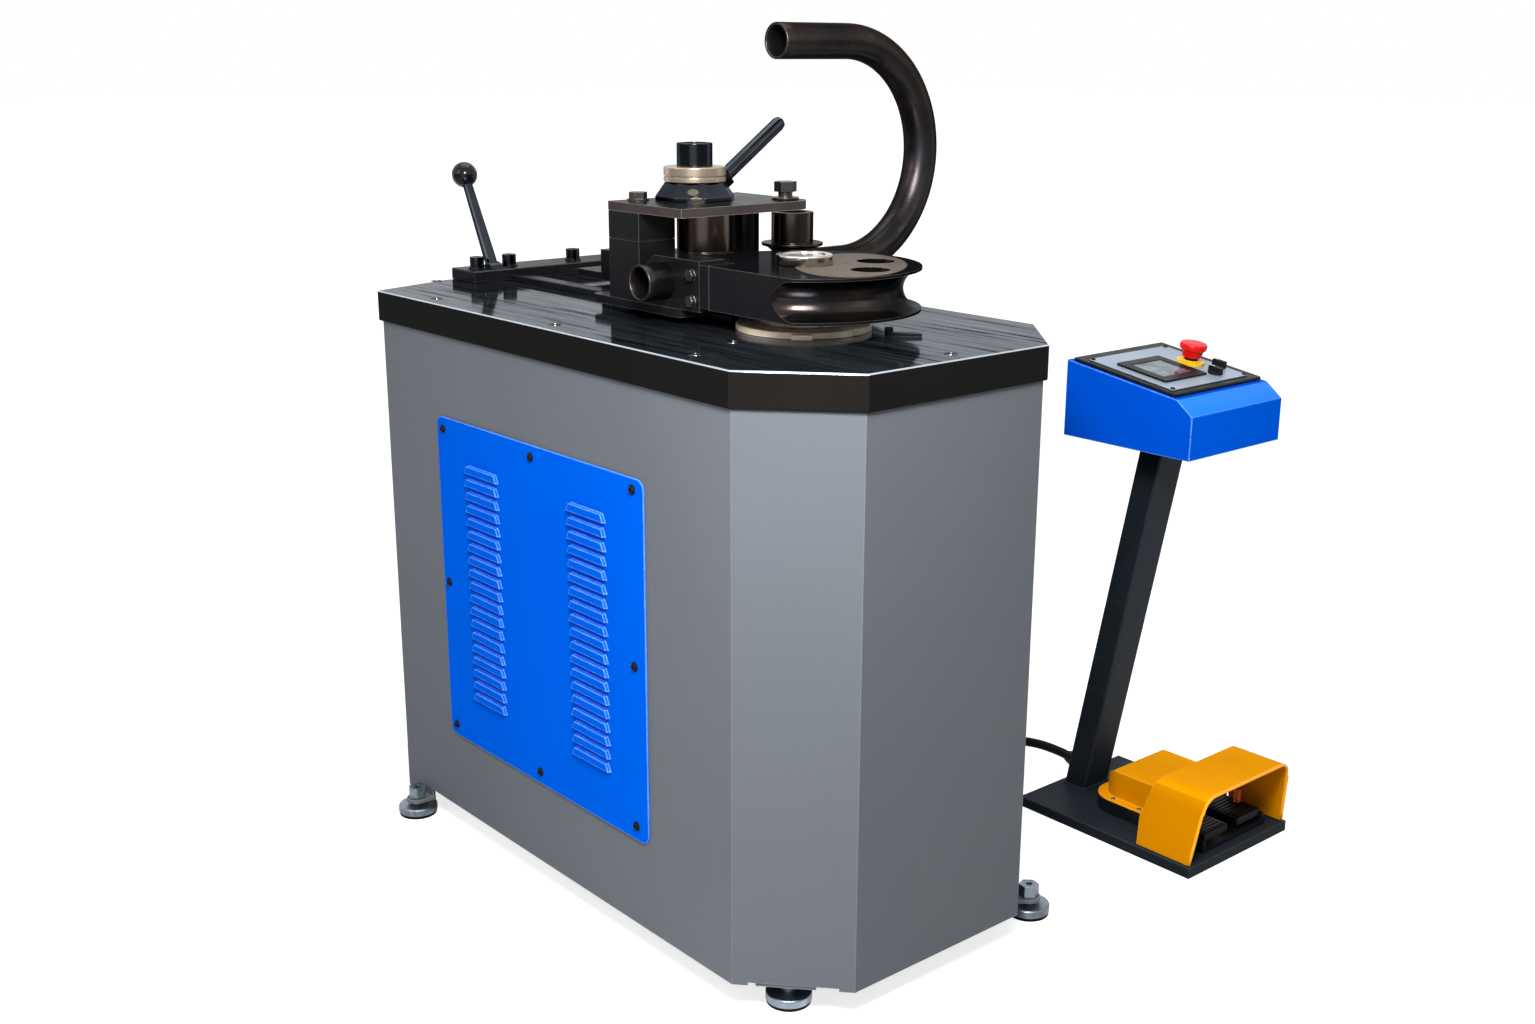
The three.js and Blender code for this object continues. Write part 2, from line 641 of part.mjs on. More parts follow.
const shelfTop = reducerBottom - fit.gap;
const flangeBottom = shelfTop - shelf.flange;
const shelfLeft = shellInner - cabinet.wall / 2;
const shelfRight = table.width - shelfLeft;
const shelfRear = table.depth - table.rearChamferY - shelf.flange;
const shellSolid = join(
  sheetShell,
  solid(block(shelfLeft, shelfRight, shelf.frontY, shelfRear, shelfTop - shelf.thick, shelfTop)),
  solid(block(shelfLeft, shelfLeft + shelf.thick, shelf.frontY, shelfRear, flangeBottom, shelfTop)),
  solid(block(shelfRight - shelf.thick, shelfRight, shelf.frontY, shelfRear, flangeBottom, shelfTop)),
  ...brackets,
);
addPiece('cabinet_shell', shellSolid, paint.cabinetGrey);

// Rings between the table and the former

const lowerRingTop = tableTop + fit.gap + lowerRing.height;
function ring(radius, bore, z0, z1, bevel) {
  const body = turned([
    [0, z0], [radius, z0], [radius, z1 - bevel], [radius - bevel, z1], [0, z1],
  ], facets.large);
  return cut(solid(body), solid(rod(bore, z0 - fit.overrun, z1 + fit.overrun, facets.medium)));
}

const keySolid = solid(block(
  lowerRing.radius - ringKey.depth, lowerRing.radius + ringKey.depth, -ringKey.width / 2, ringKey.width / 2,
  tableTop + fit.gap, tableTop + ringKey.height,
).rotateZ(THREE.MathUtils.degToRad(ringKey.angle)));
addPiece('lower_ring', join(
  ring(lowerRing.radius, shaft.radius + fit.gap, tableTop + fit.gap, lowerRingTop, lowerRing.bevel), keySolid,
), paint.bronzeSteel, machine, [former.axisX, former.axisY, 0]);
addPiece('upper_ring', ring(
  upperRing.radius, shaft.radius + fit.gap, lowerRingTop + fit.gap, formerBottom - fit.gap, upperRing.bevel,
), paint.bronzeSteel, formerGroup);

const stopSolid = join(
  solid(block(0, angleStop.length, -angleStop.width / 2, angleStop.width / 2, fit.gap, angleStop.height)),
  solid(rod(angleStop.noseRadius, fit.gap, angleStop.height + fit.overrun, facets.small)),
);
const stopMesh = addPiece('angle_stop', stopSolid, paint.blackSteel, machine,
  [former.axisX + angleStop.x, former.axisY + angleStop.y, tableTop]);
stopMesh.rotation.z = THREE.MathUtils.degToRad(angleStop.turn);

// Bending former: a grooved disc, cut off flat at its clamping face and carried on straight
// behind it, with the groove running out along the straight part

const hookInner = -former.faceOffset + hook.depth + fit.gap;
function formerSolid() {
  const grooveRadius = tubeRadius + former.grooveClear;
  const disc = solid(rod(formerRadius, formerBottom, formerTop, facets.large));
  const straight = solid(block(-former.faceOffset, 0, 0, formerRadius, formerBottom, formerTop));
  const beyondFace = solid(block(
    -formerRadius - fit.overrun, -former.faceOffset, -formerRadius, formerRadius + fit.overrun,
    formerBottom - fit.overrun, formerTop + fit.overrun,
  ));
  const hookRoom = solid(block(
    -formerRadius - fit.overrun, hookInner, hook.frontY - hook.wedge - fit.gap, formerRadius + fit.overrun,
    formerBottom - fit.overrun, formerTop + fit.overrun,
  ));
  const groove = solid(moved(
    new THREE.TorusGeometry(tube.bendRadius, grooveRadius, facets.medium, facets.large), 0, 0, centreZ,
  ));
  const straightGroove = solid(moved(
    rodX(grooveRadius, -former.faceOffset - fit.overrun, 0, facets.medium), 0, tube.bendRadius, centreZ,
  ));
  const bore = solid(rod(
    former.shaftBore, formerBottom - fit.overrun, formerTop + fit.overrun, facets.medium,
  ));
  const holes = former.holeAngles.map((degrees) => {
    const angle = THREE.MathUtils.degToRad(degrees);
    const hole = rod(former.holeRadius, formerBottom - fit.overrun, formerTop + fit.overrun, facets.medium);
    return solid(moved(hole, former.holeCircle * Math.cos(angle), former.holeCircle * Math.sin(angle), 0));
  });
  return cut(join(disc, straight), beyondFace, hookRoom, groove, straightGroove, bore, ...holes);
}
addPiece('bending_former', formerSolid(), paint.blackSteel, formerGroup);

const bossBottom = formerTop + fit.gap;
const bossTop = bossBottom + boss.height;
addPiece('former_cap', turned([
  [0, bossBottom], [boss.radius, bossBottom], [boss.radius, bossTop - boss.rimBevel],
  [boss.radius - boss.rimBevel, bossTop], [boss.recessRadius, bossTop],
  [boss.recessRadius, bossTop - boss.recessDepth], [0, bossTop - boss.recessDepth],
], facets.large), paint.chrome, formerGroup);

// Hook: the block that holds the tube's near end to the former, its wedge and two bolts

const hookX0 = -former.faceOffset;
const hookX1 = hookX0 + hook.depth;
const hookZ0 = tableTop + hook.bottom;
const hookZ1 = tableTop + hook.top;
const hookPlan = outline([
  [hook.frontY, hookZ0], [hook.rearY, hookZ0], [hook.rearY, hookZ1 - hook.chamferZ],
  [hook.rearY - hook.chamferY, hookZ1], [hook.frontY, hookZ1],
]);
const standUp = new THREE.Matrix4().makeBasis(
  new THREE.Vector3(0, 1, 0), new THREE.Vector3(0, 0, 1), new THREE.Vector3(1, 0, 0),
);
const hookBoltHeads = [hook.boltUpper, hook.boltLower].map((height) => solid(moved(
  hexPrism(hook.headRadius, -hook.headHeight, fit.overrun).rotateY(Math.PI / 2),
  hookX0, hook.boltY, tableTop + height,
)));
const hookSolid = cut(
  join(solid(moved(slab(hookPlan, 0, hook.depth).applyMatrix4(standUp), hookX0, 0, 0)), ...hookBoltHeads),
  solid(moved(
    rodX(tubeRadius + fit.gap, hookX0 - fit.overrun, hookX1 + fit.overrun, facets.medium),
    0, tube.bendRadius, centreZ,
  )),
);
addPiece('hook_block', hookSolid, paint.blackSteel, formerGroup);

addPiece('clamp_wedge', solid(block(
  hookX0, hookX1, hook.frontY - hook.wedge, hook.frontY - fit.gap, formerBottom, formerTop,
)), paint.blackSteel, formerGroup);

// Sample tube: straight through the hook and past the rollers, then bent up and back over

function tubeStations(extra) {
  const across = new THREE.Vector3(0, 1, 0);
  const startX = former.axisX - tube.nearReach - extra;
  const bendX = former.axisX + tube.farReach;
  const start = new THREE.Vector3(startX, tubeY, centreZ);
  const stations = [{ centre: start, across, up: new THREE.Vector3(0, 0, 1) }];
  for (let i = 0; i <= tube.bendSteps; i += 1) {
    const angle = (Math.PI * i) / tube.bendSteps;
    const outward = new THREE.Vector3(Math.sin(angle), 0, -Math.cos(angle));
    const middle = new THREE.Vector3(bendX, tubeY, centreZ + tube.bendRadius);
    stations.push({
      centre: middle.addScaledVector(outward, tube.bendRadius), across, up: outward.clone().negate(),
    });
  }
  stations.push({
    centre: new THREE.Vector3(bendX - tube.tail - extra, tubeY, centreZ + 2 * tube.bendRadius),
    across, up: new THREE.Vector3(0, 0, -1),
  });
  return stations;
}
addPiece('sample_tube', cut(
  solid(sweep(tubeStations(0), tubeRadius, facets.tube)),
  solid(sweep(tubeStations(fit.overrun), tubeRadius - tube.wall, facets.bore)),
), paint.millScale);

// Guide frame on the table: two rails and a crossbar at the rear, with its cap screws

const crossbarRear = table.depth;
const crossbarRight = table.width - crossbar.rightInset;
const capScrewXs = [
  ballLever.x - capScrew.leverReach, ballLever.x + capScrew.leverReach,
  crossbarRight - capScrew.middleInset, crossbarRight - capScrew.endInset,
];
const crossbarFront = crossbarRear - crossbar.depth;
const crossbarBottom = tableTop + fit.gap;
const crossbarTop = tableTop + crossbar.height;
const leverY = crossbarFront + crossbar.depth / 2;
const leverZ = crossbarBottom + ballLever.hubRadius;
const slotLeft = ballLever.x - ballLever.hubWidth / 2 - fit.gap;
const slotRight = ballLever.x + ballLever.hubWidth / 2 + fit.gap;

const screwTop = crossbarTop + capScrew.washerThick + capScrew.headHeight;
const capScrewSolid = cut(
  join(
    solid(rod(
      capScrew.washerRadius, crossbarTop - fit.overrun, crossbarTop + capScrew.washerThick, facets.bore,
    )),
    solid(rod(capScrew.headRadius, crossbarTop - fit.overrun, screwTop, facets.bore)),
  ),
  solid(hexPrism(capScrew.socket, screwTop - capScrew.socketDepth, screwTop + fit.overrun)),
);
const crossbarSolid = join(
  cut(
    solid(bevelledSlab(
      roundedRectangle(crossbar.left, crossbarRight, crossbarFront, crossbarRear, crossbar.corner),
      crossbarBottom, crossbarTop, crossbar.bevel,
    )),
    solid(block(
      slotLeft, slotRight, leverY - ballLever.slotLength / 2, leverY + ballLever.slotLength / 2,
      crossbarBottom - fit.overrun, crossbarTop + fit.overrun,
    )),
  ),
  ...capScrewXs.map((x) => placed(capScrewSolid, 0, x, leverY)),
  solid(moved(rodX(
    ballLever.pinRadius, slotLeft - fit.overrun, slotRight + fit.overrun, facets.tiny,
  ), 0, leverY, leverZ)),
);
addPiece('rear_crossbar', crossbarSolid, paint.blackSteel);

const railFront = former.axisY + lowerRing.radius + fit.overrun;
function railSolid(x) {
  return bevelledSlab(
    outline([
      [x, railFront], [x + rail.width, railFront],
      [x + rail.width, crossbarFront - fit.gap], [x, crossbarFront - fit.gap],
    ]),
    tableTop + fit.gap, tableTop + rail.height, rail.bevel,
  );
}
addPiece('left_guide_rail', railSolid(rail.leftX), paint.blackSteel);
addPiece('right_guide_rail', railSolid(table.width - rail.rightInset), paint.blackSteel);

// Ball lever: hinged in the crossbar's slot, leaning to the rear

const leverGroup = addGroup(machine, ballLever.x, leverY, leverZ);
leverGroup.rotation.x = THREE.MathUtils.degToRad(-ballLever.lean);
const leverSolid = cut(
  join(
    solid(rodX(ballLever.hubRadius - fit.gap, -ballLever.hubWidth / 2, ballLever.hubWidth / 2, facets.small)),
    solid(turned([
      [0, 0], [ballLever.rodBottom, 0], [ballLever.rodBottom, ballLever.hubRadius * 2],
      [ballLever.rodTop, ballLever.rodLength], [0, ballLever.rodLength],
    ], facets.small)),
  ),
  solid(rodX(ballLever.pinRadius + fit.gap, -ballLever.hubWidth, ballLever.hubWidth, facets.tiny)),
);
addPiece('ball_lever', leverSolid, paint.blackSteel, leverGroup);
const ballBottom = ballLever.rodLength - ballLever.ballRadius * ballSinkShare;
const ball = cut(
  solid(moved(new THREE.SphereGeometry(ballLever.ballRadius, facets.ball, facets.tiny).rotateX(Math.PI / 2),
    0, 0, ballBottom + ballLever.ballRadius)),
  solid(rod(
    ballLever.rodTop + fit.gap * 2, ballBottom - fit.overrun, ballLever.rodLength + fit.gap, facets.small,
  )),
);
addPiece('lever_ball', ball, paint.plasticBlack, leverGroup);

// Carriage: base plate with a tongue to the rear, pillar, column and top plate of the yoke

const baseBottom = tableTop + rail.height + fit.gap;
const baseTop = baseBottom + carriage.thick;
const yokeTop = tableTop + yoke.topOver;
const yokeBottom = yokeTop - yoke.thick;
const rollerY = former.axisY + tube.bendRadius + 2 * tubeRadius - rollerNipShare * fit.gap;
const camY = rollerY + cam.offset;
const tongueRear = crossbarFront - carriage.tongueRoom;
const blockRear = tongueRear - carriage.blockInset;

const carriageGroup = addGroup(machine, 0, 0, 0);
const basePlate = join(
  solid(slab(
    roundedRectangle(carriage.left, carriage.right, carriage.front, carriage.rear, carriage.corner),
    baseBottom, baseTop,
  )),
  solid(block(
    carriage.tongueLeft, carriage.tongueRight, carriage.rear - fit.overrun, tongueRear, baseBottom, baseTop,
  )),
);
const secondSleeveTop = tableTop + roller.secondSleeveTop;
const baseSolid = cut(
  join(
    basePlate,
    solid(block(
      carriage.tongueLeft, carriage.tongueRight, blockRear - carriage.blockDepth, blockRear,
      baseBottom, baseTop + carriage.blockHeight,
    )),
    solid(moved(
      rod(yoke.columnRadius, baseBottom, yokeBottom - fit.gap, facets.medium), yoke.columnX, yoke.columnY, 0,
    )),
    solid(moved(
      rod(roller.pinRadius, baseBottom, secondSleeveTop - roller.collar, facets.medium),
      roller.secondX, rollerY, 0,
    )),
  ),
  solid(moved(
    rod(cam.journal + fit.gap, baseBottom - fit.overrun, baseTop + fit.overrun, facets.small),
    roller.firstX, camY, 0,
  )),
);
addPiece('carriage_base', baseSolid, paint.blackSteel, carriageGroup);

const seamZ = tableTop + yoke.seamOver;
const pillarRight = yoke.left + yoke.pillarWidth;
addPiece('yoke_pillar_lower', block(
  yoke.left, pillarRight, yoke.pillarFront, yoke.rear, baseTop + fit.gap, seamZ,
), paint.blackSteel, carriageGroup);
addPiece('yoke_pillar_upper', block(
  yoke.left, pillarRight, yoke.pillarFront, yoke.rear, seamZ + fit.gap, yokeBottom - fit.gap,
), paint.blackSteel, carriageGroup);

function yokePlatePlan() {
  const { left, right, front, rear, cornerRadius } = yoke;
  const shape = new THREE.Shape();
  shape.moveTo(left, front);
  shape.lineTo(right - cornerRadius, front);
  shape.absarc(right - cornerRadius, front + cornerRadius, cornerRadius, -Math.PI / 2, 0);
  shape.lineTo(right, rear);
  shape.lineTo(left, rear);
  return shape;
}
const pillarBolt = join(
  solid(rod(plateBolt.washerRadius, yokeTop - fit.overrun, yokeTop + plateBolt.washerThick, facets.small)),
  solid(hexPrism(
    plateBolt.hexRadius, yokeTop - fit.overrun, yokeTop + plateBolt.washerThick + plateBolt.height,
  )),
);
addPiece('yoke_top_plate', cut(
  join(solid(slab(yokePlatePlan(), yokeBottom, yokeTop)), placed(pillarBolt, 0, plateBolt.x, plateBolt.y)),
  solid(moved(
    rod(cam.journal + fit.gap, yokeBottom - fit.overrun, yokeTop + fit.overrun, facets.small),
    roller.firstX, camY, 0,
  )),
), paint.blackSteel, carriageGroup);

const jackNeckTop = jackBolt.washerThick + jackBolt.neck;
addPiece('jack_bolt', join(
  solid(rod(jackBolt.washerRadius, 0, jackBolt.washerThick, facets.small)),
  solid(rod(jackBolt.neckRadius, 0, jackNeckTop + fit.overrun, facets.small)),
  solid(hexPrism(jackBolt.hexRadius, jackNeckTop, jackNeckTop + jackBolt.height)),
), paint.chrome, carriageGroup, [jackBolt.x, jackBolt.y, yokeTop + fit.gap]);

// Counter rollers: each has a groove for the tube and a sleeve on top

function rollerSolid(sleeveRadius, sleeveTop) {
  const grooveRadius = tubeRadius + former.grooveClear;
  const low = formerBottom;
  const high = formerTop;
  const grooveEdge = rollerY - tubeY - roller.flangeRadius;
  const half = Math.sqrt(grooveRadius ** 2 - grooveEdge ** 2);
  const profile = [[0, low], [roller.flangeRadius, low], [roller.flangeRadius, centreZ - half]];
  const startAngle = Math.asin(half / grooveRadius);
  for (let i = 1; i < facets.groove; i += 1) {
    const angle = -startAngle + (2 * startAngle * i) / facets.groove;
    profile.push([
      rollerY - tubeY - grooveRadius * Math.cos(angle), centreZ + grooveRadius * Math.sin(angle),
    ]);
  }
  profile.push(
    [roller.flangeRadius, centreZ + half], [roller.flangeRadius, high], [sleeveRadius, high],
    [sleeveRadius, sleeveTop], [0, sleeveTop],
  );
  return cut(
    solid(turned(profile, facets.medium)),
    solid(rod(roller.bore, low - fit.overrun, sleeveTop + fit.overrun, facets.medium)),
  );
}

// The first roller turns on the eccentric pin of the cam shaft, the second on its own stud

const camGroup = addGroup(carriageGroup, roller.firstX, camY, 0);
const firstRollerGroup = addGroup(camGroup, 0, -cam.offset, 0);
const firstSleeveTop = yokeBottom - roller.headRoom;
addPiece(
  'counter_roller_1', rollerSolid(roller.firstSleeve, firstSleeveTop), paint.blackSteel, firstRollerGroup,
);

const shaftTopZ = yokeTop + cam.shaftTop;
addPiece('cam_shaft', join(
  solid(rod(cam.journal, baseBottom + fit.gap, baseTop + 3 * fit.gap, facets.small)),
  solid(moved(
    rod(roller.pinRadius, baseTop + fit.gap, yokeBottom - fit.gap, facets.medium), 0, -cam.offset, 0,
  )),
  solid(rod(cam.journal, yokeBottom - 3 * fit.gap, shaftTopZ, facets.small)),
), paint.zinc, camGroup);

const secondRollerGroup = addGroup(carriageGroup, roller.secondX, rollerY, 0);
addPiece(
  'counter_roller_2', rollerSolid(roller.secondSleeve, secondSleeveTop), paint.blackSteel, secondRollerGroup,
);

// Cam hub, its lever and the lock rings and bush above it

const hubBottom = yokeTop + fit.gap;
const hubTop = hubBottom + cam.hubHeight;
const leverRise = THREE.MathUtils.degToRad(cam.leverRise);
const leverFoot = hubBottom + cam.hubHeight / 2 - cam.socketStart * Math.sin(leverRise) - cam.skirt;

function camHubSolid() {
  const cone = turned([
    [0, hubBottom], [cam.hubRadius, hubBottom], [cam.hubRadius, hubBottom + cam.skirt],
    [cam.hubTop, hubTop], [0, hubTop],
  ], cam.sides).rotateZ(Math.PI / cam.sides);
  const socket = block(cam.socketStart, cam.socketReach, -cam.socketSize / 2, cam.socketSize / 2,
    -cam.socketSize / 2, cam.socketSize / 2).rotateY(-leverRise);
  const lever = turned([
    [0, cam.socketStart], [cam.leverRadius, cam.socketStart],
    [cam.leverRadius, cam.leverReach - cam.leverTip],
    [cam.leverTip, cam.leverReach - cam.leverTip / 3],
    [cam.leverTip / 2, cam.leverReach], [0, cam.leverReach],
  ], facets.small).rotateY(Math.PI / 2 - leverRise);
  const below = block(
    -table.width, table.width, -table.width, table.width, hubBottom - table.thick, hubBottom,
  );
  return cut(
    join(solid(cone), solid(moved(socket, 0, 0, leverFoot)), solid(moved(lever, 0, 0, leverFoot))),
    solid(below),
    solid(rod(cam.journal + fit.gap, hubBottom - fit.overrun, hubTop + fit.overrun, facets.small)),
    solid(rod(cam.ringRadius + fit.gap, hubTop, hubTop + cam.hubRadius, facets.medium)),
  );
}
addPiece('cam_hub', camHubSolid(), paint.blackSteel, camGroup);

// One lock ring with a groove round its middle
const lockBottom = hubTop + fit.gap;
const upperLockTop = lockBottom + cam.lowerRing + cam.ringGap + cam.upperRing;
const grooveLow = lockBottom + cam.lowerRing;
addPiece('lock_ring', cut(
  ring(cam.ringRadius, cam.journal + fit.gap, lockBottom, upperLockTop, lowerRing.bevel),
  cut(
    solid(rod(cam.ringRadius + fit.overrun, grooveLow, grooveLow + cam.ringGap, facets.large)),
    solid(rod(cam.ringRadius - cam.ringGap, grooveLow - fit.overrun, grooveLow + fit.overrun, facets.large)),
  ),
), paint.bronzeSteel, camGroup);

const bushBottom = upperLockTop + fit.gap;
const bushTop = bushBottom + cam.bushHeight;
addPiece('shaft_bush', cut(
  solid(turned([
    [0, bushBottom], [cam.bushRadius, bushBottom], [cam.bushRadius, bushTop - lowerRing.bevel],
    [cam.bushRadius - lowerRing.bevel, bushTop], [0, bushTop],
  ], facets.medium)),
  solid(rod(cam.journal + fit.gap, bushBottom - fit.overrun, shaftTopZ + fit.gap, facets.small)),
  solid(rod(cam.bushRecess, bushTop - cam.recessDepth, bushTop + fit.overrun, facets.small)),
), paint.blackSteel, camGroup);

// Control post on its own floor plate

const plateTop = pedestal.thick;
const plateHalf = pedestal.width / 2;
addPiece('floor_plate', bevelledSlab(roundedRectangle(
  pedestal.x - plateHalf, pedestal.x + plateHalf, pedestal.front, pedestal.rear, pedestal.edge,
), 0, plateTop, pedestal.edge / 2), paint.postBlack);

const lean = Math.tan(THREE.MathUtils.degToRad(post.lean));
const postBottom = plateTop + fit.gap;
const postTop = consoleBox.bottom - fit.gap;
function leaned(geometry) {
  const shear = new THREE.Matrix4().set(1, 0, 0, 0, 0, 1, -lean, lean * postBottom, 0, 0, 1, 0, 0, 0, 0, 1);
  return geometry.applyMatrix4(shear);
}
const postRear = post.front + post.depth;
const postLeft = pedestal.x - post.width / 2;
const postRight = pedestal.x + post.width / 2;
const postSolid = cut(
  solid(leaned(slab(
    roundedRectangle(postLeft, postRight, post.front, postRear, post.corner), postBottom, postTop,
  ))),
  solid(leaned(slab(roundedRectangle(
    postLeft + post.wall, postRight - post.wall, post.front + post.wall, postRear - post.wall, post.corner,
  ), postBottom - fit.overrun, postTop + fit.overrun))),
);
addPiece('control_post', postSolid, paint.postBlack);

// Console: a folded box with a sloping top, its bezel, face plate, screen and controls

const consoleLeft = pedestal.x - consoleBox.width / 2;
const consoleRight = pedestal.x + consoleBox.width / 2;
const consoleRear = consoleBox.front + consoleBox.depth;
const slopeY = consoleBox.front + consoleBox.slopeStart;
function consoleProfile(inset) {
  const { front, bottom, frontTop, slopeLow, slopeHigh } = consoleBox;
  return outline([
    [front + inset, bottom + inset], [consoleRear - inset, bottom + inset],
    [consoleRear - inset, slopeHigh - inset],
    [slopeY + inset / 2, slopeLow - inset], [front + inset, frontTop - inset],
  ]);
}
const consoleSolid = cut(
  solid(moved(slab(consoleProfile(0), 0, consoleBox.width).applyMatrix4(standUp), consoleLeft, 0, 0)),
  solid(moved(
    slab(consoleProfile(consoleBox.wall), 0, consoleBox.width - 2 * consoleBox.wall).applyMatrix4(standUp),
    consoleLeft + consoleBox.wall, 0, 0,
  )),
  solid(block(
    postLeft + post.wall, postRight - post.wall,
    post.front - lean * (postTop - postBottom) + post.wall,
    postRear - lean * (postTop - postBottom) - post.wall,
    consoleBox.bottom - fit.overrun, consoleBox.bottom + fit.overrun,
  )),
);
addPiece('console_box', consoleSolid, paint.panelBlue);

const slopeAngle = Math.atan2(consoleBox.slopeHigh - consoleBox.slopeLow, consoleRear - slopeY);
const panelGroup = addGroup(
  machine, pedestal.x, (slopeY + consoleRear) / 2, (consoleBox.slopeLow + consoleBox.slopeHigh) / 2,
);
panelGroup.rotation.x = slopeAngle;

function panelSheet(item, z0) {
  const x = item.x ?? 0;
  const y = item.y ?? 0;
  return slab(roundedRectangle(
    x - item.width / 2, x + item.width / 2, y - item.length / 2, y + item.length / 2, item.corner,
  ), z0, z0 + item.thick);
}
const bezelTop = fit.gap + bezel.thick;
const faceTop = bezelTop + fit.gap + face.thick;
addPiece('panel_bezel', panelSheet(bezel, fit.gap), paint.plasticBlack, panelGroup);
addPiece('face_plate', panelSheet(face, bezelTop + fit.gap), paint.plateSilver, panelGroup);
const screenBezel = cut(
  solid(panelSheet(screen, faceTop + fit.gap)),
  solid(block(
    screen.x - screen.width / 2 + screen.glassInset, screen.x + screen.width / 2 - screen.glassInset,
    screen.y - screen.length / 2 + screen.glassInset, screen.y + screen.length / 2 - screen.glassInset,
    faceTop + screen.glassDrop + fit.gap, faceTop + screen.thick + fit.overrun,
  )),
);
addPiece('touch_screen', screenBezel, paint.glassDark, panelGroup);

const stopBase = faceTop + fit.gap;
const collarTop = stopBase + stop.ringThick + stop.collar;
addPiece('stop_ring', cut(
  join(
    solid(rod(stop.ringRadius, stopBase, stopBase + stop.ringThick, facets.medium)),
    solid(rod(stop.collarRadius, stopBase, collarTop, facets.small)),
  ),
  solid(rod(stop.stemRadius + fit.gap, stopBase - fit.overrun, collarTop + fit.overrun, facets.small)),
), paint.ringYellow, panelGroup, [stop.x, stop.y, 0]);

const stopHeadBottom = collarTop + stop.travel + fit.gap;
const stopHeadTop = stopHeadBottom + stop.headHeight;
addPiece('stop_button', turned([
  [0, stopBase + stop.travel], [stop.stemRadius, stopBase + stop.travel], [stop.stemRadius, stopHeadBottom],
  [stop.headNeck, stopHeadBottom],
  [stop.headRadius * stopShares.waist, stopHeadBottom + stop.headHeight * stopShares.waistHeight],
  [stop.headRadius * stopShares.rim, stopHeadBottom + stop.headHeight * stopShares.rimHeight],
  [stop.headRadius, stopHeadTop - stop.dome * stopShares.rimDrop],
  [stop.headRadius * stopShares.crown, stopHeadTop - stop.dome * stopShares.crownDrop],
  [stop.headRadius * stopShares.top, stopHeadTop], [0, stopHeadTop],
], facets.medium), paint.stopRed, panelGroup, [stop.x, stop.y, 0]);

knob.places.forEach(([x, y], i) => {
  const dial = join(
    solid(rod(knob.radius, stopBase, stopBase + knob.height / 3, facets.small)),
    solid(block(-knob.grip / 2, knob.grip / 2, -knob.radius, knob.radius, stopBase, stopBase + knob.height)),
  );
  addPiece(`selector_knob_${i + 1}`, dial, paint.plasticBlack, panelGroup, [x, y, 0]);
});

// Foot switch on the floor plate: base, cover, guard and two pedals on one pin

const switchLeft = pedalBase.x - pedalBase.width / 2;
const switchRight = pedalBase.x + pedalBase.width / 2;
const baseLow = plateTop + fit.gap;
const baseHigh = baseLow + pedalBase.height;
const pinY = pedalCover.front - pedal.bossRadius - fit.gap * 3;
const pinZ = baseLow + pedal.lift;
const trough = solid(block(
  switchLeft + pedalBase.wall, switchRight - pedalBase.wall,
  pedalBase.front - fit.overrun, pedalCover.front, baseLow + pedalBase.height / 3, baseHigh + fit.overrun,
));
const cheek = (x) => solid(block(x, x + pedalBase.wall, pinY - pedal.bossRadius, pinY + pedal.bossRadius,
  baseLow, pinZ + pedal.hingeRadius * pedalShares.cheekTop));
addPiece('switch_base', join(
  cut(
    solid(slab(
      rearRounded(switchLeft, switchRight, pedalBase.front, pedalBase.rear, pedalBase.corner),
      baseLow, baseHigh,
    )),
    trough,
  ),
  cheek(switchLeft),
  cheek(switchRight - pedalBase.wall),
  solid(moved(
    rodX(pedal.hingeRadius, switchLeft + fit.gap, switchRight - fit.gap, facets.tiny), 0, pinY, pinZ,
  )),
), paint.plasticBlack);

const coverLow = baseHigh + fit.gap;
const coverHigh = coverLow + pedalCover.height;
function switchCover() {
  const lip = rearRounded(
    switchLeft - fit.gap, switchRight + fit.gap, pedalCover.front, pedalBase.rear, pedalBase.corner,
  );
  const dome = rearRounded(
    switchLeft + pedalCover.inset, switchRight - pedalCover.inset,
    pedalCover.front, pedalBase.rear - pedalCover.inset, pedalCover.corner,
  );
  const slopeTool = block(
    switchLeft - fit.overrun, switchRight + fit.overrun, 0, pedalBase.rear, 0, pedalCover.height,
  )
    .rotateX(-THREE.MathUtils.degToRad(pedalCover.slope));
  return cut(
    join(solid(slab(lip, coverLow, coverLow + pedalCover.lip)), solid(slab(dome, coverLow, coverHigh))),
    solid(moved(slopeTool, 0, pedalBase.rear - pedalCover.shoulder - pedalCover.inset, coverHigh)),
  );
}
addPiece('switch_cover', switchCover(), paint.amber);

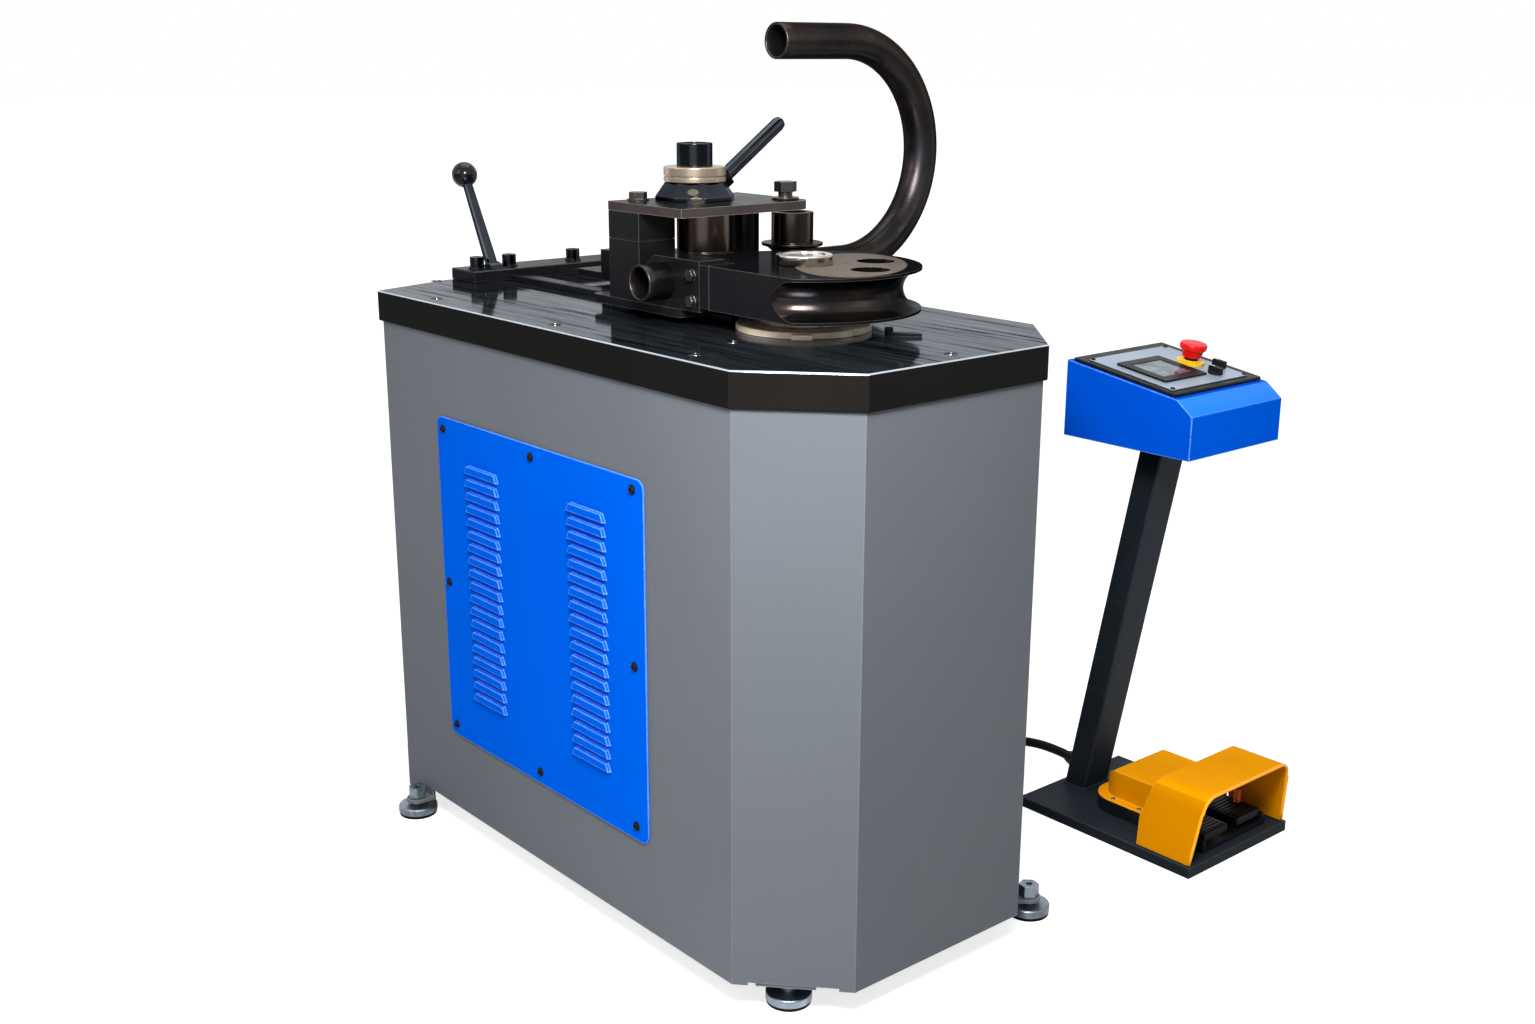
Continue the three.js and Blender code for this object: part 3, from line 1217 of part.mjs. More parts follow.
// Guard: a bent hood over the pedals, open at the front
function guardSolid() {
  const section = (inset, low) => {
    const halfBottom = guard.bottomWidth / 2 - inset;
    const halfTop = guard.topWidth / 2 - inset;
    const top = guard.height - inset;
    const bend = guard.bend - inset;
    const corner = (side) => Array.from({ length: facets.curve + 1 }, (_, i) => {
      const angle = (Math.PI / 2) * (i / facets.curve);
      return [side * (halfTop - bend + bend * Math.cos(angle)), top - bend + bend * Math.sin(angle)];
    });
    return outline([[-halfBottom, low], [halfBottom, low], ...corner(1), ...corner(-1).reverse()]);
  };
  const standBack = new THREE.Matrix4().makeBasis(
    new THREE.Vector3(1, 0, 0), new THREE.Vector3(0, 0, 1), new THREE.Vector3(0, -1, 0),
  );
  const length = guard.kneeY - guard.topFront + 2 * fit.overrun;
  const hood = (inset, low) => solid(moved(
    slab(section(inset, low), 0, length).applyMatrix4(standBack), 0, guard.kneeY + fit.overrun, 0,
  ));
  const side = outline([
    [guard.footFront, 0], [guard.footRear, 0], [guard.kneeY, guard.kneeHeight],
    [guard.topRear, guard.height], [guard.topFront, guard.height],
  ]);
  const profile = solid(moved(
    slab(side, 0, guard.bottomWidth + 2 * fit.overrun).applyMatrix4(standUp),
    -guard.bottomWidth / 2 - fit.overrun, 0, 0,
  ));
  return cut(hood(0, 0), hood(guard.wall, -fit.overrun)).intersect(profile);
}
addPiece('pedal_guard', guardSolid(), paint.amber, machine, [pedestal.x, 0, baseLow]);

const pedalLefts = [
  pedalBase.x - pedal.gap / 2 - pedal.width,
  pedalBase.x + pedal.gap / 2,
];
pedalLefts.forEach((left, i) => {
  const padSolid = cut(
    join(
      solid(block(0, pedal.width, pedal.front, pinY, pinZ - pedal.thick / 2, pinZ + pedal.thick / 2)),
      solid(block(
        0, pedal.width, pedal.front, pedal.front + pedal.thick,
        pinZ - pedal.thick * pedalShares.toeDrop, pinZ + pedal.thick / 2,
      )),
      solid(moved(rodX(pedal.bossRadius, 0, pedal.width, facets.small), 0, pinY, pinZ)),
    ),
    solid(moved(
      rodX(pedal.hingeRadius + fit.gap, -fit.overrun, pedal.width + fit.overrun, facets.tiny), 0, pinY, pinZ,
    )),
  );
  addPiece(i === 0 ? 'pedal_left' : 'pedal_right', padSolid, paint.plasticBlack, machine, [left, 0, 0]);
});

// Visible coil spring that stands on the right pedal
function springStations() {
  const rings = spring.turns * spring.steps;
  const stations = [];
  for (let i = 0; i <= rings; i += 1) {
    const angle = (2 * Math.PI * i) / spring.steps;
    const across = new THREE.Vector3(Math.cos(angle), Math.sin(angle), 0);
    const centre = across.clone().multiplyScalar(spring.radius);
    centre.z = spring.wire / 2 + fit.gap + ((spring.height - spring.wire) * i) / rings;
    stations.push({ centre, across: across.clone().negate(), up: new THREE.Vector3(0, 0, 1) });
  }
  return stations;
}
const coilStations = springStations();

// The coil's least gap to itself, between points that lie at least half a turn apart
let coilReach = Infinity;
coilStations.forEach(({ centre }, i) => {
  for (let other = i + spring.steps / 2; other < coilStations.length; other += 1) {
    coilReach = Math.min(coilReach, centre.distanceTo(coilStations[other].centre));
  }
});
console.log(`pedal_spring: least gap to itself ${(coilReach - spring.wire).toFixed(2)} mm`);
addPiece('pedal_spring', sweep(coilStations, spring.wire / 2, spring.sides), paint.springOrange, machine,
  [pedestal.x + spring.x, spring.y, pinZ + pedal.thick / 2]);

// Cable between the cabinet and the post, with a gland at each end

function glandSolid() {
  const body = turned([
    [0, 0], [gland.baseRadius, 0], [gland.baseRadius, gland.baseLength], [gland.nutRadius, gland.baseLength],
    [gland.nutRadius, gland.baseLength + gland.nutLength],
    [gland.tipRadius, gland.baseLength + gland.nutLength + gland.tipLength],
    [0, gland.baseLength + gland.nutLength + gland.tipLength],
  ], facets.tiny);
  return cut(solid(body), solid(rod(
    gland.bore, gland.baseLength,
    gland.baseLength + gland.nutLength + gland.tipLength + fit.overrun, facets.tiny,
  )));
}
const cabinetGland = addPiece('cabinet_gland', glandSolid(), paint.plasticBlack, machine,
  [table.width - cabinet.inset + fit.gap, cable.wallY, cable.wallZ]);
cabinetGland.rotation.y = Math.PI / 2;
const leanAngle = THREE.MathUtils.degToRad(post.lean);
const postGlandY = postRear - lean * (cable.postZ - postBottom);
const postGland = addPiece('post_gland', glandSolid(), paint.plasticBlack, machine, [
  cable.postX, postGlandY + fit.gap * Math.cos(leanAngle), cable.postZ + fit.gap * Math.sin(leanAngle),
]);
postGland.rotation.x = leanAngle - Math.PI / 2;

const route = new THREE.CatmullRomCurve3(cable.route.map((point) => new THREE.Vector3(...point)));
const cableSection = new THREE.Shape();
for (let i = 0; i < cable.sides; i += 1) {
  const angle = (2 * Math.PI * (i + 0.5)) / cable.sides;
  const point = [cable.radius * Math.cos(angle), cable.radius * Math.sin(angle)];
  if (i === 0) cableSection.moveTo(...point);
  else cableSection.lineTo(...point);
}
const cableMesh = addPiece('control_cable', new THREE.ExtrudeGeometry(cableSection, {
  steps: cable.steps, bevelEnabled: false, extrudePath: route,
}), paint.rubber);

// The origin is on the floor under the middle of everything but the cable

machine.updateMatrixWorld(true);
const bounds = new THREE.Box3();
machine.traverse((object) => {
  if (object.isMesh && object !== cableMesh) bounds.expandByObject(object, true);
});
const centre = bounds.getCenter(new THREE.Vector3());
machine.position.set(-centre.x, -centre.y, -bounds.min.z);

export default group;
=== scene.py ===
import math
import random

import bmesh
import bpy
from mathutils import Matrix, Vector


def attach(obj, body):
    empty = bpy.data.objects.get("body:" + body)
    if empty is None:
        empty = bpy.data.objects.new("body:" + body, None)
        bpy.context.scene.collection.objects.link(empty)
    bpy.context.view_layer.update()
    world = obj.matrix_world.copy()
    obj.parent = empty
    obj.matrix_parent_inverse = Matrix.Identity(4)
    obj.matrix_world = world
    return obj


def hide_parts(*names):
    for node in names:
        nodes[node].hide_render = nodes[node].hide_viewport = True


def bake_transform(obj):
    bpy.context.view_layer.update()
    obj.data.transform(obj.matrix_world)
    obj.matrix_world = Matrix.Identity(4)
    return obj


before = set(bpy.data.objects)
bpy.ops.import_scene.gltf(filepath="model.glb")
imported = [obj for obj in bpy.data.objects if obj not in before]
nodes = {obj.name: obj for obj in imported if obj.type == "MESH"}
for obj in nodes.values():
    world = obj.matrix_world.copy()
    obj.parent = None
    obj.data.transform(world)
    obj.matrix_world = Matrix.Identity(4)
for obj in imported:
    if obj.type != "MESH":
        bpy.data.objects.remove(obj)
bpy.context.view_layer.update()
print("frame loaded, nodes:", len(nodes))

mm = 0.001
originX, originY = 472.5, 499.5364   # the part's origin on the machine, in mm


# a point of the machine (x from the table's left edge, y from its front edge, z from the floor)
def spot(x, y, z):
    return Vector(((x - originX) * mm, (y - originY) * mm, z * mm))


# the same point back in machine mm
def machineAt(point):
    return point.x / mm + originX, point.y / mm + originY, point.z / mm


def putInScene(name, data):
    piece = bpy.data.objects.new(name, data)
    bpy.context.scene.collection.objects.link(piece)
    return piece


# Camera

camera = {"place": (-1.6417, -1.82044, 1.1683), "yaw": 40.5, "pitch": 15.49, "roll": 0.24,
          "lens": 39.2, "sensor": 36, "clip": (0.05, 60)}


def makeCamera():
    yaw, pitch, roll = (math.radians(camera[k]) for k in ("yaw", "pitch", "roll"))
    ahead = Vector((math.sin(yaw) * math.cos(pitch), math.cos(yaw) * math.cos(pitch), -math.sin(pitch)))
    right = Vector((math.cos(yaw), -math.sin(yaw), 0))
    up = right.cross(ahead)
    right, up = (right * math.cos(roll) + up * math.sin(roll),
                 up * math.cos(roll) - right * math.sin(roll))
    data = bpy.data.cameras.new("camera")
    data.lens, data.sensor_width = camera["lens"], camera["sensor"]
    data.clip_start, data.clip_end = camera["clip"]
    eye = putInScene("camera", data)
    turn = Matrix((right, up, -ahead)).transposed().to_4x4()
    eye.matrix_world = Matrix.Translation(Vector(camera["place"])) @ turn
    bpy.context.scene.camera = eye


makeCamera()
print("camera set")


# Node helpers

# an output called Color is a colour, any other one is a number
def newGroup(name, inputs, *outputs):
    tree = bpy.data.node_groups.new(name, "ShaderNodeTree")
    for label, value in inputs.items():
        kind = "NodeSocketFloat"
        if isinstance(value, tuple):
            kind = "NodeSocketColor" if len(value) == 4 else "NodeSocketVector"
        tree.interface.new_socket(label, in_out="INPUT", socket_type=kind).default_value = value
    for label in outputs:
        kind = "NodeSocketColor" if label == "Color" else "NodeSocketFloat"
        tree.interface.new_socket(label, in_out="OUTPUT", socket_type=kind)
    return tree, tree.nodes.new("NodeGroupInput").outputs, tree.nodes.new("NodeGroupOutput")


# sets or links one input: a socket is linked, anything else is a value
def feed(tree, target, value):
    if isinstance(value, bpy.types.NodeSocket):
        tree.links.new(value, target)
    else:
        target.default_value = value


# feeds a node's inputs from a dictionary by name, or from a list in order
def feedAll(tree, node, values):
    for key, value in values.items() if isinstance(values, dict) else enumerate(values):
        feed(tree, node.inputs[key], value)


# a new node's outputs, once it has its settings and its inputs
def addNode(tree, kind, values=(), **settings):
    node = tree.nodes.new(f"ShaderNode{kind}")
    for key, value in settings.items():
        setattr(node, key, value)
    feedAll(tree, node, values)
    return node.outputs


def mathNode(tree, operation, *values, clamp=False):
    return addNode(tree, "Math", values, operation=operation, use_clamp=clamp)[0]


def mixColor(tree, factor, a, b):
    return addNode(tree, "Mix", {"Factor": factor, 6: a, 7: b}, data_type="RGBA")[2]


def remap(tree, value, low, high, toLow=0.0, toHigh=1.0):
    return addNode(tree, "MapRange", {"Value": value, "From Min": low, "From Max": high, "To Min": toLow,
                                      "To Max": toHigh})["Result"]


def objectPlace(tree):
    return addNode(tree, "TexCoord")["Object"]


def noiseAt(tree, scale, detail=3.0, stretch=(1, 1, 1), roughness=0.55):
    place = addNode(tree, "Mapping", {"Vector": objectPlace(tree), "Scale": stretch})["Vector"]
    return addNode(tree, "TexNoise", {"Vector": place, "Scale": scale, "Detail": detail,
                                      "Roughness": roughness})["Fac"]


# how far a surface looks up, from -1 to 1
def lookingUp(tree):
    return addNode(tree, "SeparateXYZ", [addNode(tree, "NewGeometry")["Normal"]])["Z"]


# Shared effects: each group gives colours, masks or heights

# edge mask: rounded edges take a lighter colour, partly real wear and partly a painted highlight
wearAndHighlightEffect = {"inputs": {"Radius": 0.0015, "Sharpness": 6.0, "Breakup": 0.4}, "samples": 4,
              "breakScale": 90.0, "breakRange": (0.35, 0.65)}


def makeEdgeWearAndHighlight():
    tree, given, end = newGroup("edgeWearAndHighlight", wearAndHighlightEffect["inputs"], "Mask")
    rounded = addNode(tree, "Bevel", {"Radius": given["Radius"]}, samples=wearAndHighlightEffect["samples"])
    normals = rounded["Normal"], addNode(tree, "NewGeometry")["Normal"]
    dot = addNode(tree, "VectorMath", normals, operation="DOT_PRODUCT")["Value"]
    away = mathNode(tree, "SUBTRACT", 1.0, dot)
    strong = mathNode(tree, "MULTIPLY", away, given["Sharpness"], clamp=True)
    breakup = remap(tree, noiseAt(tree, wearAndHighlightEffect["breakScale"]), *wearAndHighlightEffect["breakRange"])
    loss = mathNode(tree, "MULTIPLY", mathNode(tree, "SUBTRACT", 1.0, breakup), given["Breakup"])
    kept = mathNode(tree, "SUBTRACT", 1.0, loss)
    feedAll(tree, end, {"Mask": mathNode(tree, "MULTIPLY", strong, kept, clamp=True)})
    return tree


mottleEffect = {"inputs": {"Base": (0.5, 0.5, 0.5, 1), "Second": (0.5, 0.5, 0.5, 1), "Scale": 6.0},
                "detail": 4.0, "range": (0.35, 0.68)}


def makeMottle():
    tree, given, end = newGroup("mottle", mottleEffect["inputs"], "Color", "Mask")
    wide = noiseAt(tree, given["Scale"], detail=mottleEffect["detail"])
    mask = remap(tree, wide, *mottleEffect["range"])
    color = mixColor(tree, mask, given["Base"], given["Second"])
    feedAll(tree, end, {"Color": color, "Mask": mask})
    return tree


peelEffect = {"inputs": {"Scale": 600.0}, "detail": 1.0}


def makePeel():
    tree, given, end = newGroup("peel", peelEffect["inputs"], "Height")
    feedAll(tree, end, {"Height": noiseAt(tree, given["Scale"], detail=peelEffect["detail"])})
    return tree


scuffEffect = {"inputs": {"Scale": 30.0, "Width": 0.02}, "turn": (0.4, 0.9, 0.6), "stretch": (1, 0.16, 0.5),
               "patchScale": 9.0, "patchRange": (0.52, 0.66)}


def makeScuffs():
    s = scuffEffect
    tree, given, end = newGroup("scuffs", s["inputs"], "Mask")
    place = addNode(tree, "Mapping", {"Vector": objectPlace(tree), "Rotation": s["turn"],
                                      "Scale": s["stretch"]})["Vector"]
    noise = addNode(tree, "TexNoise", {"Vector": place, "Scale": given["Scale"]})["Fac"]
    off = mathNode(tree, "ABSOLUTE", mathNode(tree, "SUBTRACT", noise, 0.5))
    line = mathNode(tree, "LESS_THAN", off, given["Width"])
    patch = remap(tree, noiseAt(tree, s["patchScale"]), *s["patchRange"])
    feedAll(tree, end, {"Mask": mathNode(tree, "MULTIPLY", line, patch)})
    return tree


dustEffect = {"inputs": {"Amount": 0.3}, "levelRange": (0.3, 1.0), "patches": dict(scale=22.0, detail=6.0),
              "patchRange": (0.4, 0.75)}


def makeDust():
    tree, given, end = newGroup("dust", dustEffect["inputs"], "Mask")
    level = remap(tree, lookingUp(tree), *dustEffect["levelRange"])
    patch = remap(tree, noiseAt(tree, **dustEffect["patches"]), *dustEffect["patchRange"])
    share = mathNode(tree, "MULTIPLY", mathNode(tree, "MULTIPLY", level, patch), given["Amount"])
    feedAll(tree, end, {"Mask": share})
    return tree


markEffect = {"inputs": {"Centre": (0.0, 0.0, 0.0), "Across": (1.0, 0.0, 0.0), "Along": (0.0, 1.0, 0.0),
                         "Soft": 0.1, "Level": 0.0}, "levelFrom": 0.95}


# a marked place on a surface: a round or a diamond, seen square to its two directions
def makeMark():
    tree, given, end = newGroup("mark", markEffect["inputs"], "Round", "Diamond")
    ends = objectPlace(tree), given["Centre"]
    off = addNode(tree, "VectorMath", ends, operation="SUBTRACT")[0]
    sides = []
    for label in ("Across", "Along"):
        dot = addNode(tree, "VectorMath", (off, given[label]), operation="DOT_PRODUCT")["Value"]
        sides.append(mathNode(tree, "ABSOLUTE", dot))
    squares = [mathNode(tree, "MULTIPLY", side, side) for side in sides]
    reach = mathNode(tree, "SQRT", mathNode(tree, "ADD", *squares))
    inner = mathNode(tree, "SUBTRACT", 1.0, given["Soft"])
    steep = mathNode(tree, "LESS_THAN", lookingUp(tree), markEffect["levelFrom"])
    kept = mathNode(tree, "SUBTRACT", 1.0, mathNode(tree, "MULTIPLY", steep, given["Level"]))
    for label, distance in (("Round", reach), ("Diamond", mathNode(tree, "ADD", *sides))):
        within = remap(tree, distance, 1.0, inner)
        feedAll(tree, end, {label: mathNode(tree, "MULTIPLY", within, kept)})
    return tree


effects = {"edgeWearAndHighlight": makeEdgeWearAndHighlight(), "mottle": makeMottle(), "peel": makePeel(), "mark": makeMark(),
           "scuffs": makeScuffs(), "dust": makeDust()}
print("effects made:", ", ".join(effects))


def useEffect(tree, name, **values):
    return addNode(tree, "Group", values, node_tree=effects[name])


def bumpFrom(tree, height, strength, distance):
    return addNode(tree, "Bump", {"Strength": strength, "Distance": distance, "Height": height})["Normal"]


def blankMaterial(name):
    material = bpy.data.materials.new(name)
    material.use_nodes = True
    return material, material.node_tree, material.node_tree.nodes["Principled BSDF"]


def shade(hexColor):
    parts = [int(hexColor[i:i + 2], 16) / 255 for i in (0, 2, 4)]
    return tuple(p / 12.92 if p <= 0.04045 else ((p + 0.055) / 1.055) ** 2.4 for p in parts) + (1.0,)


# Finishes that are built alike: colour mottle, worn edges that also carry a painted highlight, scuffs, dust
# and a fine bump

# what a finish has unless it says otherwise
commonLook = dict(metallic=0.0, gloss=0.5, scuff=0.0, scuffRough=0.2, dust=0.0, dustColor="a39c92",
                  tint="ffffff", bumpDepth=0.0004)

# mottled colours and the wear colour, which on edges is also a painted highlight, then mottle scale, metal,
# gloss, roughness, bump, edge wear with painted highlight and dirt;
# like names the finish whose other values it has
finishes = {
    "cabinetPaint": dict(base="64686e", second="5f636a", wearAndHighlight="a4a8ac", mottle=1.6, gloss=0.06,
                         rough=(0.42, 0.5), peel=(750.0, 0.35), edge=(0.0022, 3.0)),
    "bandPaint": dict(base="121213", second="151515", wearAndHighlight="55585b", mottle=5.0, gloss=0.01,
                      rough=(0.4, 0.5), peel=(600.0, 0.2), edge=(0.0012, 1.6)),
    "bluePaint": dict(base="005bda", second="0056d0", wearAndHighlight="8ec4ff", mottle=2.2, gloss=0.0,
                      rough=(0.36, 0.44), peel=(700.0, 0.15), edge=(0.0024, 7.0)),
    "blackSteel": dict(base="232427", second="2c2c2d", wearAndHighlight="8c8680", mottle=7.0, metallic=0.7, gloss=0.2,
                       rough=(0.16, 0.28), peel=(420.0, 0.15), edge=(0.0016, 5.0), tint="84888e"),
    "glossSteel": dict(base="3e4248", second="2f3338", wearAndHighlight="8b8f95", mottle=14.0, metallic=1.0,
                       rough=(0.08, 0.18), peel=(320.0, 0.08), edge=(0.0014, 4.0), tint="b0b2b6"),
    "formerSteel": dict(base="101216", second="171617", wearAndHighlight="8d8073", mottle=5.0, metallic=0.5, gloss=0.0,
                        rough=(0.07, 0.16), peel=(320.0, 0.12), edge=(0.0012, 3.0), tint="3a3c40"),
    "sleeveSteel": dict(base="5a524d", second="463d37", wearAndHighlight="8f8073", mottle=9.0, metallic=1.0,
                        rough=(0.14, 0.26), peel=(360.0, 0.12), edge=(0.0012, 3.0), tint="a09c98"),
    "warmSteel": dict(base="b7a694", second="8f7d6c", wearAndHighlight="dcd4ca", mottle=16.0, metallic=0.8,
                      rough=(0.24, 0.4), peel=(500.0, 0.1), edge=(0.0008, 1.6), scuff=0.1),
    "chrome": dict(base="d8d2ca", second="b4aba0", wearAndHighlight="f0f0f0", mottle=26.0, metallic=1.0,
                   rough=(0.07, 0.18), peel=(500.0, 0.05), edge=(0.0006, 1.0), scuff=0.05),
    "zincSteel": dict(base="8f9ba6", second="6d7882", wearAndHighlight="c9d2d8", mottle=40.0, metallic=1.0,
                      rough=(0.28, 0.44), peel=(420.0, 0.15), edge=(0.0008, 1.6), scuff=0.2),
    "rubber": dict(base="0e0f10", second="151617", wearAndHighlight="333536", mottle=30.0, gloss=0.06, rough=(0.4, 0.6),
                   peel=(900.0, 0.3), edge=(0.0012, 0.5)),
    "postPaint": dict(base="1c2229", second="232930", wearAndHighlight="6a727b", mottle=5.0, gloss=0.05,
                      rough=(0.4, 0.5), peel=(520.0, 0.2), edge=(0.0016, 5.0), scuff=0.03),
    "amberPaint": dict(base="ea9a00", second="e09000", wearAndHighlight="ffcf55", mottle=6.0, gloss=0.008,
                       rough=(0.36, 0.46), peel=(600.0, 0.2), edge=(0.0022, 6.0)),
    "blackPlastic": dict(base="101112", second="17181a", wearAndHighlight="1c1d1f", mottle=30.0, gloss=0.08,
                         rough=(0.3, 0.42), peel=(800.0, 0.15), edge=(0.0014, 1.5), scuff=0.05),
    "ballPlastic": dict(like="blackPlastic", base="0b0c0d", second="101112", wearAndHighlight="26282a", mottle=20.0,
                        gloss=0.25, rough=(0.08, 0.16), peel=(300.0, 0.03), edge=(0.001, 0.4), scuff=0.0),
    "redPlastic": dict(base="d60d10", second="c4090c", wearAndHighlight="ff5a4c", mottle=30.0, gloss=0.2,
                       rough=(0.3, 0.36), peel=(400.0, 0.04), edge=(0.0012, 0.8)),
    "yellowPlastic": dict(base="f0bd00", second="e2ad00", wearAndHighlight="ffe37a", mottle=40.0, gloss=0.4,
                          rough=(0.34, 0.46), peel=(500.0, 0.1), edge=(0.001, 1.0)),
    "plateSilver": dict(base="97a3b4", second="8995a6", wearAndHighlight="e8ebef", mottle=7.0, metallic=0.2, gloss=0.2,
                        rough=(0.28, 0.4), peel=(900.0, 0.08), edge=(0.0006, 1.2), scuff=0.05),
    "castIron": dict(base="3f454b", second="545a60", wearAndHighlight="8d9398", mottle=24.0, metallic=0.5, gloss=0.4,
                     rough=(0.5, 0.72), peel=(260.0, 0.8), edge=(0.0012, 1.6), scuff=0.1, dust=0.3),
    "motorPaint": dict(base="2b4a80", second="24406f", wearAndHighlight="7f93b5", mottle=18.0, metallic=0.1, gloss=0.4,
                       rough=(0.42, 0.58), peel=(300.0, 0.5), edge=(0.0012, 1.6), scuff=0.1, dust=0.25),
    "consoleBlue": dict(like="bluePaint", base="0049be", second="0045b4", wearAndHighlight="7ab8ff", gloss=0.01,
                        edge=(0.0024, 8.0)),
    # painted shade: a darker copy of the cabinet paint for the cabinet's front faces
    "cabinetPaintedShade": dict(like="cabinetPaint", base="5a5e63", second="565a60"),
    # painted light: a lighter copy of the console blue for the console's front faces
    "consoleFrontPaintedLight": dict(like="bluePaint", base="0059da", second="0054d0", edge=(0.0024, 8.0)),
    # painted shade: a darker copy of the amber paint for the left faces of guard and cover
    "amberPaintedShade": dict(like="amberPaint", base="cf8400", second="c67c00"),
    # painted light: a lighter copy of the band paint for the table's corner facets
    "facetPaintedLight": dict(like="bandPaint", base="181615", second="1b1918"),
    # painted light: a lighter copy of the black steel for the upright faces of the yoke plate
    "sideSteelPaintedLight": dict(like="blackSteel", base="544d4a", second="3f3a38", wearAndHighlight="b8b0a8", mottle=18.0,
                      metallic=0.6, rough=(0.24, 0.36)),
    # painted sheen: a lighter, glossier copy of the console blue for its faces that slope up to the front
    "consolePaintedSheen": dict(like="bluePaint", base="1a78ea", second="156fde", wearAndHighlight="9ccaff", gloss=0.06,
                         edge=(0.0024, 8.0)),
    "treadRubber": dict(like="rubber", base="08090a", second="0c0d0e", wearAndHighlight="1c1e20", gloss=0.1,
                        rough=(0.22, 0.34), peel=(900.0, 0.1), edge=(0.0012, 0.6)),
    # painted highlight: a lighter amber for the rolled edge of the guard
    "amberRimPaintedHighlight": dict(like="amberPaint", base="ffae18", second="ffa60c", wearAndHighlight="ffd878", gloss=0.3,
                     rough=(0.24, 0.34), peel=(600.0, 0.1), edge=(0.0012, 1.0)),
    "grooveSteel": dict(like="sleeveSteel", base="352e2a", second="1f1e20", wearAndHighlight="a08c78", mottle=14.0,
                        metallic=0.9, peel=(360.0, 0.15), edge=(0.001, 1.0), tint="8c9096"),
    "edgeSteel": dict(base="dfe6ee", second="c3ccd6", wearAndHighlight="ffffff", mottle=30.0, metallic=1.0,
                      rough=(0.2, 0.3), peel=(500.0, 0.05), edge=(0.0006, 1.0)),
    # painted light: a pale, less metallic copy of the warm steel that lightens the lower ring in the former's
    # shadow
    "ringSteelPaintedLight": dict(like="warmSteel", base="f4e2cc", second="dcc3a6", wearAndHighlight="fff6ea", metallic=0.25,
                      gloss=0.6, rough=(0.26, 0.4)),
    # painted shade: a darker copy of the post paint for the left faces of post and floor plate
    "postPaintedShade": dict(like="postPaint", base="151a1f", second="1a2025", gloss=0.03),
    "boltSteel": dict(base="5a5652", second="45423f", wearAndHighlight="b4aea6", mottle=40.0, metallic=0.9,
                      rough=(0.2, 0.34), peel=(420.0, 0.12), edge=(0.001, 3.0)),
    "springSteel": dict(base="ff7a2e", second="e2641c", wearAndHighlight="ffb884", mottle=60.0, metallic=0.2, gloss=0.4,
                        rough=(0.3, 0.45), peel=(900.0, 0.1), edge=(0.0004, 1.0)),
    "markInk": dict(base="d8dade", second="c9ccd2", wearAndHighlight="f0f0f0", mottle=30.0, gloss=0.3, rough=(0.4, 0.5),
                    peel=(900.0, 0.05), edge=(0.0004, 0.6)),
}


# how the marks are broken up: a noise, and the range that it dims them over
markBreak = {"noise": dict(scale=70.0, detail=5.0), "range": (0.3, 0.5, 0.72, 1.0)}


# each mark: kind, centre and two half widths on the machine in mm, colour, strength, softness, and level 1
# where only faces that look up carry it
def addMarks(tree, color, piece, marks):
    for mark in marks:
        inward = piece.matrix_world.inverted()
        values = {"Centre": tuple(inward @ spot(*mark["place"])), "Soft": mark["soft"],
                  "Level": mark["level"]}
        for label, key in (("Across", "across"), ("Along", "along")):
            reach = Vector(mark[key]) * mm
            values[label] = tuple(inward.to_3x3() @ (reach / reach.length_squared))
        mask = useEffect(tree, "mark", **values)[mark["kind"]]
        broken = remap(tree, noiseAt(tree, **markBreak["noise"]), *markBreak["range"])
        share = mathNode(tree, "MULTIPLY", mathNode(tree, "MULTIPLY", mask, broken), mark["strength"])
        color = mixColor(tree, share, color, shade(mark["color"]))
    return color


def makeFinish(name, look, piece=None, marks=()):
    look = {**commonLook, **finishes.get(look.get("like"), {}), **look}
    material, tree, shader = blankMaterial(name)
    mottle = useEffect(tree, "mottle", Base=shade(look["base"]), Second=shade(look["second"]),
                       Scale=look["mottle"])
    # worn edges: real wear and a painted highlight in one lighter colour
    worn = useEffect(tree, "edgeWearAndHighlight", Radius=look["edge"][0], Sharpness=look["edge"][1])["Mask"]
    color = mixColor(tree, worn, mottle["Color"], shade(look["wearAndHighlight"]))
    scuffMask = mathNode(tree, "MULTIPLY", useEffect(tree, "scuffs")["Mask"], look["scuff"])
    color = mixColor(tree, scuffMask, color, shade(look["wearAndHighlight"]))
    if look["dust"]:
        dustMask = useEffect(tree, "dust", Amount=look["dust"])["Mask"]
        color = mixColor(tree, dustMask, color, shade(look["dustColor"]))
    color = addMarks(tree, color, piece, marks)
    roughness = remap(tree, mottle["Mask"], 0.0, 1.0, *look["rough"])
    rubbed = mathNode(tree, "MULTIPLY", scuffMask, look["scuffRough"])
    scale, strength = look["peel"]
    grain = useEffect(tree, "peel", Scale=scale)["Height"]
    feedAll(tree, shader, {
        "Base Color": color, "Metallic": look["metallic"], "Specular IOR Level": look["gloss"],
        "Specular Tint": shade(look["tint"]), "Roughness": mathNode(tree, "ADD", roughness, rubbed),
        "Normal": bumpFrom(tree, grain, strength, look["bumpDepth"])})
    return material


materials = {name: makeFinish(name, look) for name, look in finishes.items()}

